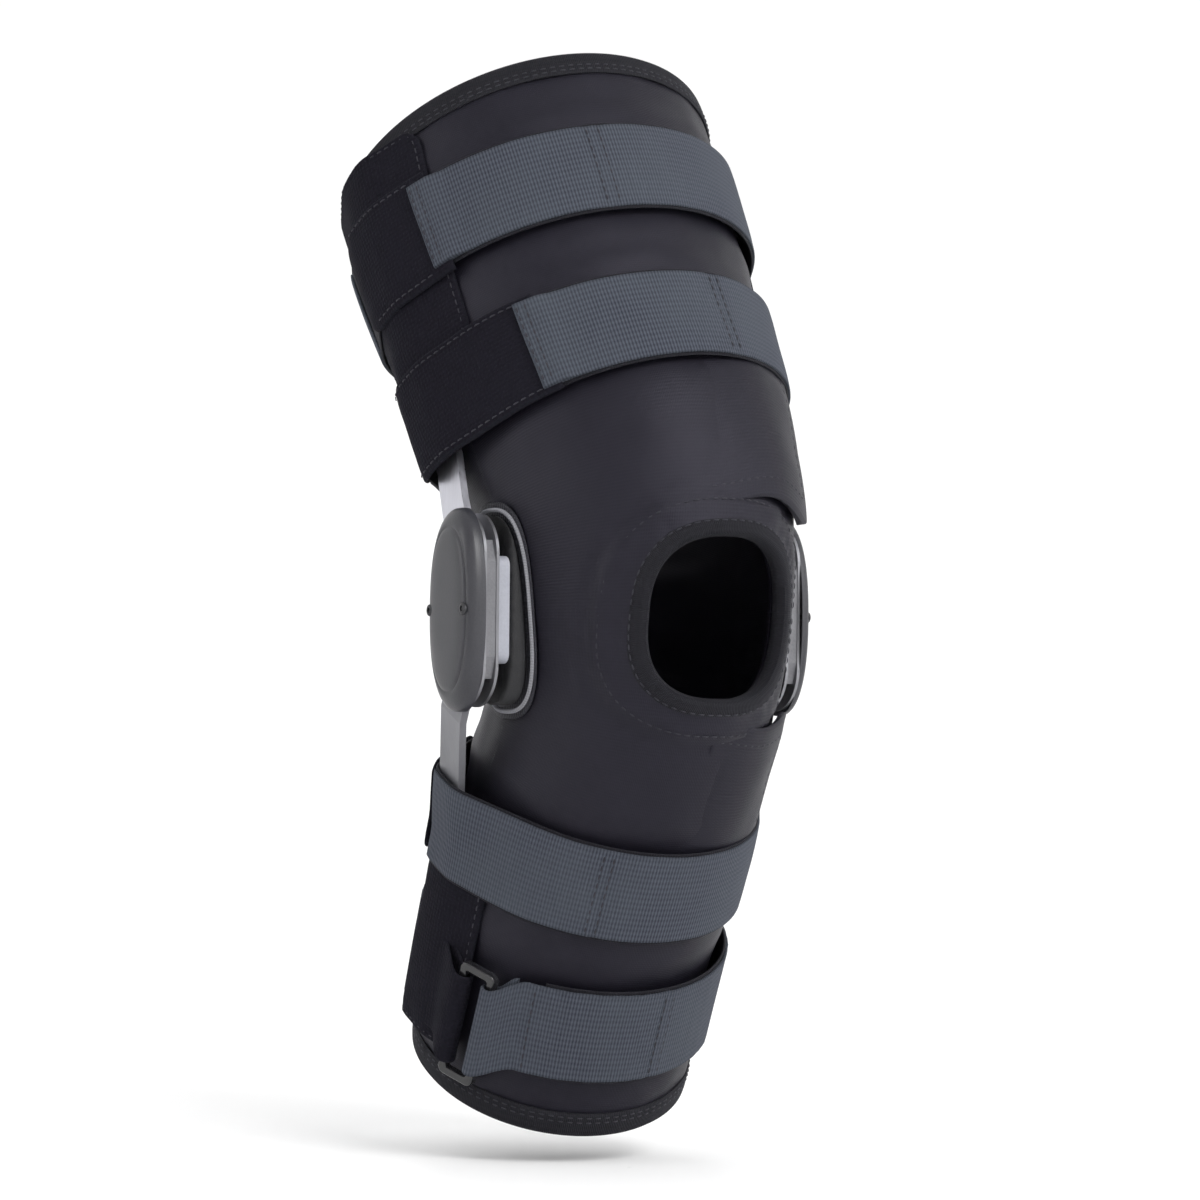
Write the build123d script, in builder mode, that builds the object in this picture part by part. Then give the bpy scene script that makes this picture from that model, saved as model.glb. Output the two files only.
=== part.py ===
from build123d import *
from math import acos, atan2, cos, degrees, hypot, radians, sin
import os

# Hinged wrap-around knee brace, in millimetres, flexed by 50 degrees.
# +X medial (towards the other leg), -X lateral, -Y front, +Z up.
# The origin lies midway between the two hinges and midway between the pivots.

# overall sizes
thigh_length = 206.0        # upper pivot to the middle of the top rim
calf_length = 194.0         # lower pivot to the middle of the bottom rim
built_flexion = 50.0
full_flexion = 110.0
pivot_gap = 20.0            # upper pivot to lower pivot

# the sleeve's outer face: along the limb, half width, half depth, shift in x, shift back
thigh_rows = [
    (54.0, 63.5, 73.0, -1.7, -14.5),
    (104.0, 71.0, 75.0, -3.5, -8.0),
    (164.0, 76.0, 78.0, -5.6, -2.0),
    (thigh_length + 13.0, 78.0, 80.0, -7.5, 4.0),
]
calf_rows = [
    (54.0, 55.0, 62.0, 0.0, -9.0),
    (99.0, 57.0, 61.0, 0.0, -6.0),
    (154.0, 57.0, 60.0, 0.0, -6.0),
    (calf_length + 12.0, 55.0, 57.0, 0.0, -11.0),
]
knee_half_width = 56.0
knee_half_depth = 66.0
knee_shift_x = -1.5
knee_shift_back = -17.0

# fabric
sleeve_thickness = 4.0
panel_thickness = 2.4       # pockets, flaps and bindings
patch_thickness = 1.2       # wear patch under each hinge
strap_thickness = 2.0
strap_width = 40.0
layer_gap = 0.4             # free space between two layers
body_gap = 0.6              # free space between fabric that bends and fabric that doesn't

# hinge
plate_thickness = 1.2
washer_thickness = 0.5
side_play = 0.1             # each side of an arm
arm_thickness = 3.0
arm_width = 18.0
arm_reach_thigh = thigh_length - 18.0
arm_reach_calf = calf_length - 22.0
hinge_half_width = 17.0
hinge_half_height = 38.0
stand_off = {"lateral": 69.7, "medial": 61.0}    # inner plate's inner face from the middle
cover_depth = {"lateral": 8.5, "medial": 5.5}
cover_rim = 2.0             # cover beyond the plates
cover_wall = 1.8
cover_round = 0.55          # rounding of the cover's rim, as a share of its depth
cover_hollow_inset = (1.0, 4.0)    # hollow inside the plates' outline, across and along
screw_proud = 0.3
pin_diameter = 6.0
pin_head = 10.0
head_height = 1.2
head_clearance = 0.3
running_fit = 0.04          # radial
screw_diameter = 2.5
screw_from_middle = 14.2
stop_play = 0.1
stop_inset = 0.5            # stops inside the plates' edge
cup_half_width = 15.0
cup_half_height = 21.0
pad_half_width = 17.0
pad_half_height = 37.0
pad_depth_share = 0.45      # of the way from the sleeve to the inner plate

# gear ends of the arms
gear_teeth = 20
upper_arm_teeth = 9         # of the full round; the lower arm has one more
gear_module = pivot_gap / gear_teeth
tooth_tip = pivot_gap / 2 + 0.8 * gear_module
tooth_root = pivot_gap / 2 - 1.05 * gear_module
tooth_half_at_pitch = 0.62 * gear_module
flank_slope = 0.32

# straps: place of the middle along the limb, rise towards the medial side
strap_places = {
    "strap_1": ("thigh", thigh_length - 48.0, 0.06),
    "strap_2": ("thigh", 88.0, 0.06),
    "strap_3": ("calf", calf_length - 103.0, -0.03),
    "strap_4": ("calf", calf_length - 41.0, -0.08),
}
# where each strap starts to rise behind, and its slope from there
strap_bends = {
    "strap_1": (10.0, 0.02), "strap_2": (10.0, 0.3),
    "strap_3": (10.0, 0.12), "strap_4": (10.0, 0.02),
}
# hook tabs and the ring's keeper on the outer side, from front to back
tab_spans = {
    "strap_1": (-44.0, 20.0), "strap_2": (-62.0, 26.0), "strap_3": (14.0, 46.0),
    "strap_4": (-34.0, 12.0),
}
tab_thickness = 1.6

# pockets: limb, from front to back, nearest place along the limb
pocket_places = {
    "upper": ("thigh", -36.0, 34.0, 116.0), "lower": ("calf", -26.0, 34.0, 102.0),
}
pocket_past_arm = 5.0       # pocket beyond the arm's end

# kneecap opening, its edge tape and buttress, and the front flaps
opening_half_width = 30.0
opening_half_height = 33.0
opening_drop = 3.0
opening_round = 0.85        # corner radius as a share of the half width
opening_tape = 5.0
tape_thickness = 1.4
rim_tape_width = 9.0
buttress_thickness = 3.0
buttress_width = 13.0
flap_front = 27.0           # flaps start this far in front of the hinge axis
# from x, to x, far z
flap_spans = {"thigh": (-8.0, 72.0, 140.0), "calf": (6.0, 62.0, -130.0)}
patch_rim = 5.0             # wear patch beyond the pad

# ring of the lowest strap
ring_turn = -27.0           # degrees round the calf from straight out
ring_lift = 6.2             # middle of the ring from the sleeve
ring_wire = 3.4
ring_bar = 7.0              # each bar from the ring's middle
ring_window = 43.0
loop_width = 39.0
loop_clearance = 0.2
loop_wall = 1.5

limb_tilt = built_flexion / 2
pivot_height = pivot_gap / 2
arm_in_plate = plate_thickness + washer_thickness + side_play
plate_space = 2 * (washer_thickness + side_play) + arm_thickness
far = 150.0                 # longer than any half of the brace is wide
arm_straight = hinge_half_height - pivot_height + 6    # arms run flat this far from the pivot
sink = 14.0                 # how far the pads' blanks start inside the sleeve's face

lean_y = sin(radians(limb_tilt))
lean_z = cos(radians(limb_tilt))
thigh_frame = Plane(
    origin=(0, 0, pivot_height), x_dir=(1, 0, 0), z_dir=(0, lean_y, lean_z)
)
calf_frame = Plane(
    origin=(0, 0, -pivot_height), x_dir=(-1, 0, 0), z_dir=(0, lean_y, -lean_z)
)
side_sign = {"lateral": -1, "medial": 1}
limbs = {
    "thigh": {"frame": thigh_frame, "rows": thigh_rows, "turn": 1, "reach": arm_reach_thigh},
    "calf": {"frame": calf_frame, "rows": calf_rows, "turn": -1, "reach": arm_reach_calf},
}


def between(rows, along, column):
    # value of one column at a place along the limb, straight between the rows
    low, high = rows[0], rows[1]
    for first, second in zip(rows, rows[1:]):
        if along >= first[0]:
            low, high = first, second
    share = (along - low[0]) / (high[0] - low[0])
    return low[column] + share * (high[column] - low[column])


def arm_inner(limb, side, along):
    # distance of an arm's inner face from the middle plane
    flat = stand_off[side] + arm_in_plate
    rows = limb["rows"]
    if along <= arm_straight:
        return flat
    if along < rows[0][0]:
        share = (along - arm_straight) / (rows[0][0] - arm_straight)
        return flat + share * (arm_inner(limb, side, rows[0][0]) - flat)
    skin = between(rows, along, 1) + side_sign[side] * between(rows, along, 3) + layer_gap
    start = rows[0][1] + side_sign[side] * rows[0][3] + layer_gap
    spare = max(0.0, flat - start)
    fade = max(0.0, 1 - (along - rows[0][0]) / (rows[1][0] - rows[0][0] + 5))
    return skin + spare * fade * 0.75


def wrap_corner(row, gap, corner, turn):
    # where a line from a corner touches the oval of one section
    half_width, half_depth = row[1] + gap, row[2] + gap
    px, py = corner[0] - row[3], corner[1] - row[4]
    reach = hypot(px / half_width, py / half_depth)
    angle = atan2(py / half_depth, px / half_width)
    if px < 0 and angle < 0:
        angle += radians(360)
    return angle + turn * acos(1 / reach)


def wrap_edges(limb, row, gap):
    # the outline of a band pulled tight round the oval and over both arms
    middle = (row[3], row[4])
    half_width, half_depth = row[1] + gap, row[2] + gap
    reach = {}
    for side in side_sign:
        x = arm_inner(limb, side, row[0]) + arm_thickness + gap
        reach[side_sign[side] * limb["turn"]] = x
    half_arm = arm_width / 2 + gap
    right_front, right_back = (reach[1], -half_arm), (reach[1], half_arm)
    left_front, left_back = (-reach[-1], -half_arm), (-reach[-1], half_arm)
    back_start = wrap_corner(row, gap, right_back, 1)
    back_end = wrap_corner(row, gap, left_back, -1)
    front_start = wrap_corner(row, gap, left_front, 1)
    front_end = wrap_corner(row, gap, right_front, -1) + radians(360)
    with BuildLine() as outline:
        back = EllipticalCenterArc(
            middle, half_width, half_depth,
            start_angle=degrees(back_start), arc_size=degrees(back_end - back_start),
        )
        front = EllipticalCenterArc(
            middle, half_width, half_depth,
            start_angle=degrees(front_start), arc_size=degrees(front_end - front_start),
        )
        Polyline(back @ 1, left_back, left_front, front @ 0)
        Polyline(front @ 1, right_front, right_back, back @ 0)
    return outline.edges()


def sections(limb):
    # the limb's rows, with the x shifts turned into its own frame
    return [(r[0], r[1], r[2], r[3] * limb["turn"], r[4]) for r in limb["rows"]]


def layer_plug(limb, gap, over_arms):
    # a solid plug out to one layer of the limb
    slices = []
    for row in sections(limb):
        with BuildSketch(limb["frame"].offset(row[0])) as piece:
            if over_arms:
                make_face(wrap_edges(limb, row, gap))
            else:
                with Locations((row[3], row[4])):
                    Ellipse(row[1] + gap, row[2] + gap)
        slices.append(piece.sketch)
    return loft(slices, ruled=True, mode=Mode.PRIVATE)


def side_block(limb, points, rise=0.0, side=None):
    # what lies inside an outline seen from the side, given as (back, along) points
    frame = limb["frame"]
    view = Plane(origin=frame.origin, x_dir=frame.y_dir, z_dir=frame.x_dir)
    run = frame.x_dir + frame.z_dir * rise * limb["turn"]
    if side:
        run = run * side_sign[side] * limb["turn"]
    with BuildPart() as block:
        with BuildSketch(view):
            with BuildLine():
                Polyline(*points, close=True)
            make_face()
        extrude(amount=far, both=side is None, dir=run)
    return block.part


def band(limb, inner, outer, points, over_arms=True, rise=0.0, side=None):
    # one layer of cloth between two distances from the sleeve
    with BuildPart() as piece:
        add(layer_plug(limb, outer, over_arms))
        add(layer_plug(limb, inner, over_arms), mode=Mode.SUBTRACT)
        add(side_block(limb, points, rise, side), mode=Mode.INTERSECT)
    return piece.part


def save(part, name):
    part.label = name
    export_step(part, f"parts/{name}.step")
    return part


os.makedirs("parts", exist_ok=True)

# ------------------------------------------------ arms with geared ends
def gear_profile(half_step):
    # teeth on the side away from the arm, round the pivot
    pitch = pivot_gap / 2
    low = tooth_root - 0.4
    half_low = tooth_half_at_pitch + (pitch - low) * flank_slope
    half_tip = tooth_half_at_pitch - (tooth_tip - pitch) * flank_slope
    step = 360 / gear_teeth
    count = upper_arm_teeth + half_step
    first = -90 - step * (count - 1) / 2
    Circle(tooth_root)
    with PolarLocations(0, count, start_angle=first, angular_range=step * (count - 1), endpoint=True):
        Polygon(
            (low, -half_low), (tooth_tip, -half_tip), (tooth_tip, half_tip), (low, half_low),
            align=None,
        )


def arm_stations(limb):
    inner_rows = [row[0] for row in limb["rows"] if row[0] < limb["reach"]]
    return [0.0, arm_straight] + inner_rows + [limb["reach"]]


def make_arm(limb, side, half_step):
    frame = limb["frame"]
    out = side_sign[side] * limb["turn"]
    front_view = Plane(origin=frame.origin, x_dir=frame.x_dir, z_dir=-frame.y_dir)
    stations = arm_stations(limb)
    inner = [(out * arm_inner(limb, side, s), s) for s in stations]
    outer = [(out * (arm_inner(limb, side, s) + arm_thickness), s) for s in stations]
    face_x = out * arm_inner(limb, side, 0.0)
    head_plane = Plane(
        origin=frame.origin + frame.x_dir * face_x, x_dir=frame.y_dir, z_dir=frame.x_dir
    )
    with BuildPart() as arm:
        with BuildSketch(front_view):
            with BuildLine():
                Polyline(*inner, *reversed(outer), close=True)
            make_face()
        extrude(amount=arm_width / 2, both=True)
        ends = arm.edges().filter_by(Axis.X).sort_by(Axis(frame.origin, frame.z_dir))[-2:]
        fillet(ends, radius=arm_width / 2 - 1)
        with BuildSketch(head_plane):
            gear_profile(half_step)
        extrude(amount=out * arm_thickness)
        with BuildSketch(head_plane):
            Circle(pin_diameter / 2 + running_fit)
        extrude(amount=out * arm_thickness, mode=Mode.SUBTRACT)
    return arm.part


# ------------------------------------------------ hinge, built outwards along x
def hinge_plane(side, distance):
    # plane at a distance from the middle, its normal pointing out, its x towards the back
    out = side_sign[side]
    return Plane(origin=(out * distance, 0, 0), x_dir=(0, out, 0), z_dir=(out, 0, 0))


def pivots():
    return Locations((0, pivot_height), (0, -pivot_height))


def screw_places():
    return Locations((screw_from_middle, 0), (-screw_from_middle, 0))


def oval(half_width, half_height):
    SlotOverall(2 * half_height, 2 * half_width, rotation=90)


def make_plate(side, start):
    with BuildPart() as plate:
        with BuildSketch(hinge_plane(side, start)):
            oval(hinge_half_width, hinge_half_height)
            with pivots():
                Circle(pin_diameter / 2, mode=Mode.SUBTRACT)
            with screw_places():
                Circle(screw_diameter / 2, mode=Mode.SUBTRACT)
        extrude(amount=plate_thickness)
    return plate.part


def make_washers(side, inner_start, outer_start):
    with BuildPart() as washers:
        for start in (inner_start, outer_start):
            with BuildSketch(hinge_plane(side, start)):
                with pivots():
                    Circle(tooth_root - 1)
                    Circle(pin_diameter / 2, mode=Mode.SUBTRACT)
            extrude(amount=washer_thickness)
    return washers.part


def make_pins(side, inner_face, outer_face):
    with BuildPart() as pins:
        with BuildSketch(hinge_plane(side, inner_face)):
            with pivots():
                Circle(pin_diameter / 2)
        extrude(amount=outer_face - inner_face)
        for start in (inner_face - head_height, outer_face):
            with BuildSketch(hinge_plane(side, start)):
                with pivots():
                    Circle(pin_head / 2)
            extrude(amount=head_height)
    return pins.part


def arm_edge_height(back):
    # height of the upper arm's rear edge at full flexion, at a distance behind the pivots
    lean = radians(full_flexion / 2)
    return pivot_height - (arm_width / 2 + stop_play - back * cos(lean)) / sin(lean)


def stop_outline(kind):
    edge = arm_width / 2 + stop_play
    if kind == "flexion":
        near, outer = tooth_tip + 0.3, hinge_half_width - stop_inset
        near_height, outer_height = arm_edge_height(near), arm_edge_height(outer)
        return [
            (near, near_height), (outer, outer_height), (outer, -outer_height),
            (near, -near_height),
        ]
    # the front stop clears the gears at mid height and fills the plates' rounded ends
    web = -tooth_tip - 1.2
    rim = -hinge_half_width + stop_inset
    top = hinge_half_height - 11
    bend = pivot_height + 8.5
    inner_half = [(-edge, top), (-edge, bend), (web, bend - 5)]
    outer_half = [(rim, bend), (rim + 3, top)]
    inner_lower = [(x, -z) for x, z in reversed(inner_half)]
    outer_lower = [(x, -z) for x, z in reversed(outer_half)]
    return inner_half + inner_lower + outer_lower + outer_half


def make_stop(side, start, kind):
    out = side_sign[side]
    with BuildPart() as stop:
        with BuildSketch(hinge_plane(side, start)):
            with BuildLine():
                Polyline(*[(out * x, z) for x, z in stop_outline(kind)], close=True)
            make_face()
            with screw_places():
                Circle(screw_diameter / 2, mode=Mode.SUBTRACT)
        extrude(amount=plate_space)
    return stop.part


def make_cover(side, start):
    depth = cover_depth[side]
    with BuildPart() as cover:
        with BuildSketch(hinge_plane(side, start)):
            oval(hinge_half_width + cover_rim, hinge_half_height + cover_rim)
        extrude(amount=depth)
        top = cover.faces().sort_by(Axis.X)[-1 if side == "medial" else 0]
        fillet(top.edges(), radius=depth * cover_round)
        with BuildSketch(hinge_plane(side, start)):
            oval(hinge_half_width - cover_hollow_inset[0], hinge_half_height - cover_hollow_inset[1])
        extrude(amount=depth - cover_wall, mode=Mode.SUBTRACT)
        with BuildSketch(hinge_plane(side, start)):
            with screw_places():
                Circle(screw_diameter)
        extrude(amount=depth - cover_wall)
        with BuildSketch(hinge_plane(side, start)):
            with screw_places():
                Circle(screw_diameter / 2)
        extrude(amount=depth, mode=Mode.SUBTRACT)
    return cover.part


def make_screws(side, inner_face, cover_start):
    seat = cover_start + cover_depth[side] - cover_wall
    with BuildPart() as screws:
        with BuildSketch(hinge_plane(side, inner_face)):
            with screw_places():
                Circle(screw_diameter / 2)
        extrude(amount=seat + cover_wall + screw_proud - inner_face)
    return screws.part


def knee_plug(gap, upper):
    # the sleeve between the middle of the knee and the first row of one limb
    limb = limbs["thigh" if upper else "calf"]
    row = sections(limb)[0]
    level = Plane.XY if upper else Plane(origin=(0, 0, 0), x_dir=(-1, 0, 0), z_dir=(0, 0, -1))
    with BuildSketch(level) as low:
        with Locations((knee_shift_x * limb["turn"], knee_shift_back)):
            Ellipse(knee_half_width + gap, knee_half_depth + gap)
    with BuildSketch(limb["frame"].offset(row[0])) as high:
        with Locations((row[3], row[4])):
            Ellipse(row[1] + gap, row[2] + gap)
    return loft([low.sketch, high.sketch], ruled=True, mode=Mode.PRIVATE)


def knee_body(gap):
    # both halves of the knee out to one layer, as one plug
    with BuildPart() as plug:
        add(knee_plug(gap, True))
        add(knee_plug(gap, False))
    return plug.part


pad_clear = 2 * layer_gap + patch_thickness
knee_under_pad = knee_body(pad_clear)


def skin_at_hinge(side):
    return knee_half_width + side_sign[side] * knee_shift_x + pad_clear


def make_pad(side):
    surface = skin_at_hinge(side)
    top = surface + (stand_off[side] - surface) * pad_depth_share
    with BuildPart() as pad:
        with BuildSketch(hinge_plane(side, surface - sink)):
            oval(pad_half_width, pad_half_height)
        extrude(amount=top - surface + sink)
        add(knee_under_pad, mode=Mode.SUBTRACT)
    return pad.part


def make_cup(side):
    surface = skin_at_hinge(side)
    bottom = surface + (stand_off[side] - surface) * pad_depth_share
    with BuildPart() as cup:
        with BuildSketch(hinge_plane(side, bottom)):
            RectangleRounded(2 * cup_half_width, 2 * cup_half_height, 4)
        extrude(amount=stand_off[side] - bottom)
        with BuildSketch(hinge_plane(side, stand_off[side] - head_height - head_clearance)):
            with pivots():
                Circle(pin_head / 2 + head_clearance)
        extrude(amount=head_height + head_clearance, mode=Mode.SUBTRACT)
    return cup.part


for side in side_sign:
    inner = stand_off[side]
    space = inner + plate_thickness
    outer = space + plate_space
    cover_start = outer + plate_thickness
    save(make_arm(limbs["thigh"], side, 0), f"{side}_upper_arm")
    save(make_arm(limbs["calf"], side, 1), f"{side}_lower_arm")
    save(make_plate(side, inner), f"{side}_inner_plate")
    save(make_plate(side, outer), f"{side}_outer_plate")
    save(make_washers(side, space, outer - washer_thickness), f"{side}_thrust_washers")
    save(make_pins(side, inner, cover_start), f"{side}_pivot_pins")
    save(make_stop(side, space, "extension"), f"{side}_extension_stop")
    save(make_stop(side, space, "flexion"), f"{side}_flexion_stop")
    save(make_cover(side, cover_start), f"{side}_hinge_cover")
    save(make_screws(side, inner, cover_start), f"{side}_cover_screws")
    save(make_pad(side), f"{side}_condyle_pad")
    save(make_cup(side), f"{side}_condyle_cup")

# ------------------------------------------------ sleeve, in four lengths
front, back = -110.0, 110.0    # beyond the sleeve on either side of the pivots
knee_edges = {
    "thigh": [(front, 56.0), (20.0, 56.0), (66.0, 84.0), (back, 110.0)],
    "calf": [(front, 56.0), (15.0, 56.0), (54.0, 70.0), (back, 90.0)],
}
# middle of the rim along the limb, lift at the front, rise towards the medial side
rims = {"thigh": (thigh_length, 13.0, 0.05), "calf": (calf_length, 7.0, -0.08)}


def limb_skin(name, inner, outer, low, high, over_arms=False):
    # a layer between two lists of side-view points, low and high, each from front to back
    return band(limbs[name], inner, outer, low + high[::-1], over_arms)


def rim_line(name, inset):
    middle, lift, _ = rims[name]
    return [(front, middle + lift - inset), (back, middle - lift - inset)]


def under_rim(name, inset):
    # everything from the pivot up to a line inset from the rim
    points = [(front, 0.0), (back, 0.0)] + rim_line(name, inset)[::-1]
    return side_block(limbs[name], points, rims[name][2])


def moved(points, distance):
    return [(point[0], point[1] + distance) for point in points]


def make_sleeve_end(name):
    limb = limbs[name]
    reach = limb["rows"][-1][0]
    with BuildPart() as sleeve:
        add(limb_skin(name, -sleeve_thickness, 0, knee_edges[name], [(front, reach), (back, reach)]))
        add(under_rim(name, 0), mode=Mode.INTERSECT)
    return sleeve.part


def make_rim_binding(name):
    limb = limbs[name]
    reach = limb["rows"][-1][0]
    low, high = [(front, 100.0), (back, 100.0)], [(front, reach), (back, reach)]
    with BuildPart() as tape:
        add(limb_skin(name, layer_gap, layer_gap + tape_thickness, low, high))
        add(under_rim(name, 0), mode=Mode.INTERSECT)
        add(under_rim(name, rim_tape_width), mode=Mode.SUBTRACT)
    return tape.part


def knee_cloth(name, inner, outer):
    # one half of the bending knee section, with its piece of the limb's first length
    limb = limbs[name]
    upper = name == "thigh"
    first = limb["rows"][0][0]
    start = [(front, first), (back, first)]
    end = moved(knee_edges[name], -body_gap)
    with BuildPart() as cloth:
        add(knee_plug(outer, upper))
        add(knee_plug(inner, upper), mode=Mode.SUBTRACT)
        add(limb_skin(name, inner, outer, start, end))
    return cloth.part


def opening_outline(margin, mode=Mode.ADD):
    RectangleRounded(
        2 * (opening_half_width + margin), 2 * (opening_half_height + margin),
        opening_half_width * opening_round + margin, mode=mode,
    )


front_view = Plane(origin=(knee_shift_x, 0, -opening_drop), x_dir=(1, 0, 0), z_dir=(0, -1, 0))


def make_knee(name):
    with BuildPart() as knee:
        add(knee_cloth(name, -sleeve_thickness, 0))
        with BuildSketch(front_view):
            opening_outline(0)
        extrude(amount=far, mode=Mode.SUBTRACT)
    return knee.part


def ring_round_opening(inner, outer, margin):
    # a flat ring of cloth that follows the front of the knee
    with BuildPart() as tape:
        add(knee_cloth("thigh", inner, outer))
        add(knee_cloth("calf", inner, outer))
        with BuildSketch(front_view):
            opening_outline(margin)
            opening_outline(0, mode=Mode.SUBTRACT)
        extrude(amount=far, mode=Mode.INTERSECT)
    return tape.part


def make_flap(name, from_x, to_x, near_z, far_z):
    # closing panel on the front of the knee, as an upright outline pushed forwards
    start = Plane(origin=(0, -flap_front, 0), x_dir=(1, 0, 0), z_dir=(0, -1, 0))
    with BuildPart() as flap:
        add(knee_cloth(name, layer_gap, layer_gap + panel_thickness))
        with BuildSketch(start):
            with Locations(((from_x + to_x) / 2, (near_z + far_z) / 2)):
                Rectangle(to_x - from_x, abs(far_z - near_z))
        extrude(amount=far, mode=Mode.INTERSECT)
    return flap.part


def make_patch(side):
    # wear patch between the sleeve and the hinge's pad
    start = skin_at_hinge(side) - 1.5 * sink
    with BuildPart() as patch:
        add(knee_body(layer_gap + patch_thickness))
        add(knee_body(layer_gap), mode=Mode.SUBTRACT)
        with BuildSketch(hinge_plane(side, start)):
            oval(pad_half_width + patch_rim, pad_half_height + patch_rim)
        extrude(amount=2 * sink, mode=Mode.INTERSECT)
    return patch.part


save(make_sleeve_end("thigh"), "sleeve_thigh")
save(make_sleeve_end("calf"), "sleeve_calf")
save(make_knee("thigh"), "sleeve_knee_upper")
save(make_knee("calf"), "sleeve_knee_lower")
save(make_rim_binding("thigh"), "top_binding")
save(make_rim_binding("calf"), "bottom_binding")
save(ring_round_opening(layer_gap, layer_gap + panel_thickness, opening_tape), "kneecap_binding")
buttress_face = -sleeve_thickness - layer_gap
save(
    ring_round_opening(buttress_face - buttress_thickness, buttress_face, buttress_width),
    "kneecap_buttress",
)
flap_low = opening_half_height + opening_tape + layer_gap
for name, (from_x, to_x, far_z) in flap_spans.items():
    near_z = flap_low * limbs[name]["turn"] - opening_drop
    save(make_flap(name, from_x, to_x, near_z, far_z), f"{name}_flap")
for side in side_sign:
    save(make_patch(side), f"{side}_wear_patch")

# ------------------------------------------------ pockets over the arms
pocket_outer = layer_gap + panel_thickness
for level, (name, from_back, to_back, low) in pocket_places.items():
    high = limbs[name]["reach"] + pocket_past_arm
    outline = [(from_back, low), (to_back, low), (to_back, high), (from_back, high)]
    for side in side_sign:
        with BuildPart() as pocket:
            add(band(limbs[name], layer_gap, pocket_outer, outline, side=side))
            add(under_rim(name, rim_tape_width + layer_gap), mode=Mode.INTERSECT)
        save(pocket.part, f"{side}_{level}_pocket")

# ------------------------------------------------ straps and their hook tabs
strap_inner = pocket_outer + layer_gap
strap_outer = strap_inner + strap_thickness
tab_inner = strap_outer + layer_gap
tab_outer = tab_inner + tab_thickness


def strap_outline(middle, turn_back, slope):
    # side view of a strap that leaves the knee hollow free behind turn_back
    half = strap_width / 2
    run = (back - turn_back) * slope
    low = [(front, middle - half), (turn_back, middle - half), (back, middle - half + run)]
    high = [(front, middle + half), (turn_back, middle + half), (back, middle + half + run)]
    return low + high[::-1]


def ring_plane():
    # flat against the front outer corner of the calf, at the lowest strap
    limb = limbs["calf"]
    frame = limb["frame"]
    along = strap_places["strap_4"][1]
    half_width = between(limb["rows"], along, 1)
    half_depth = between(limb["rows"], along, 2)
    turn = radians(ring_turn)
    x = half_width * cos(turn)
    v = between(limb["rows"], along, 4) + half_depth * sin(turn)
    out = frame.x_dir * (cos(turn) / half_width) + frame.y_dir * (sin(turn) / half_depth)
    round_limb = frame.y_dir * (half_depth * cos(turn)) - frame.x_dir * (half_width * sin(turn))
    spot = frame.origin + frame.x_dir * x + frame.y_dir * v + frame.z_dir * along
    return Plane(origin=spot + out.normalized() * ring_lift, x_dir=round_limb, z_dir=out)


def make_ring(seat):
    with BuildPart() as ring:
        with BuildSketch(seat.offset(-ring_wire / 2)):
            RectangleRounded(2 * ring_bar + ring_wire, ring_window + 2 * ring_wire, 3)
            RectangleRounded(2 * ring_bar - ring_wire, ring_window, 1, mode=Mode.SUBTRACT)
        extrude(amount=ring_wire)
        fillet(ring.edges().group_by(Axis(seat.origin, seat.z_dir))[-1], radius=0.8)
    return ring.part


def loop_bore():
    # inner radius of the webbing's turn, clear of the square wire's corners
    return ring_wire * 0.5 ** 0.5 + loop_clearance


def loop_round_bar(seat, turn):
    # the webbing's turn round one bar of the ring
    bar = Plane(
        origin=seat.origin + seat.x_dir * (turn * ring_bar) - seat.y_dir * (loop_width / 2),
        x_dir=seat.x_dir, z_dir=seat.y_dir,
    )
    bore = loop_bore()
    with BuildPart() as loop:
        with BuildSketch(bar):
            Circle(bore + loop_wall)
            Circle(bore, mode=Mode.SUBTRACT)
        extrude(amount=loop_width)
    return loop.part


def ring_gap_block(seat):
    # the space between the two ends that the ring joins
    half_depth = 2 * ring_lift
    with BuildPart() as block:
        with BuildSketch(seat.offset(-half_depth)):
            Rectangle(2 * (ring_bar + loop_bore() + 0.5), 1.7 * strap_width)
        extrude(amount=2 * half_depth)
    return block.part


def make_strap(name):
    limb_name, middle, rise = strap_places[name]
    outline = strap_outline(middle, *strap_bends[name])
    return band(limbs[limb_name], strap_inner, strap_outer, outline, rise=rise)


def side_outline(name, longer=0.0):
    # side view of a strap's tab, or of its keeper
    middle = strap_places[name][1]
    from_back, to_back = tab_spans[name]
    low, high = middle - strap_width / 2, middle + strap_width / 2
    to_back += longer
    return [(from_back, low), (to_back, low), (to_back, high), (from_back, high)]


for name in ("strap_1", "strap_2", "strap_3"):
    limb_name, _, rise = strap_places[name]
    outline = side_outline(name)
    save(make_strap(name), name)
    save(
        band(limbs[limb_name], tab_inner, tab_outer, outline, rise=rise, side="lateral"),
        f"{name}_tab",
    )

limb_name, _, rise = strap_places["strap_4"]
limb = limbs[limb_name]
ring_seat = ring_plane()
ring_gap = ring_gap_block(ring_seat)
with BuildPart() as lowest:
    add(make_strap("strap_4"))
    keeper_side = side_block(limb, side_outline("strap_4", layer_gap), rise, "lateral")
    add(keeper_side, mode=Mode.SUBTRACT)
    add(ring_gap, mode=Mode.SUBTRACT)
    add(loop_round_bar(ring_seat, -1))
save(lowest.part, "strap_4")
with BuildPart() as keeper:
    add(band(limb, strap_inner, strap_outer, side_outline("strap_4"), rise=rise, side="lateral"))
    add(ring_gap, mode=Mode.SUBTRACT)
    add(loop_round_bar(ring_seat, 1))
save(keeper.part, "strap_4_keeper")
save(make_ring(ring_seat), "strap_ring")
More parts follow.
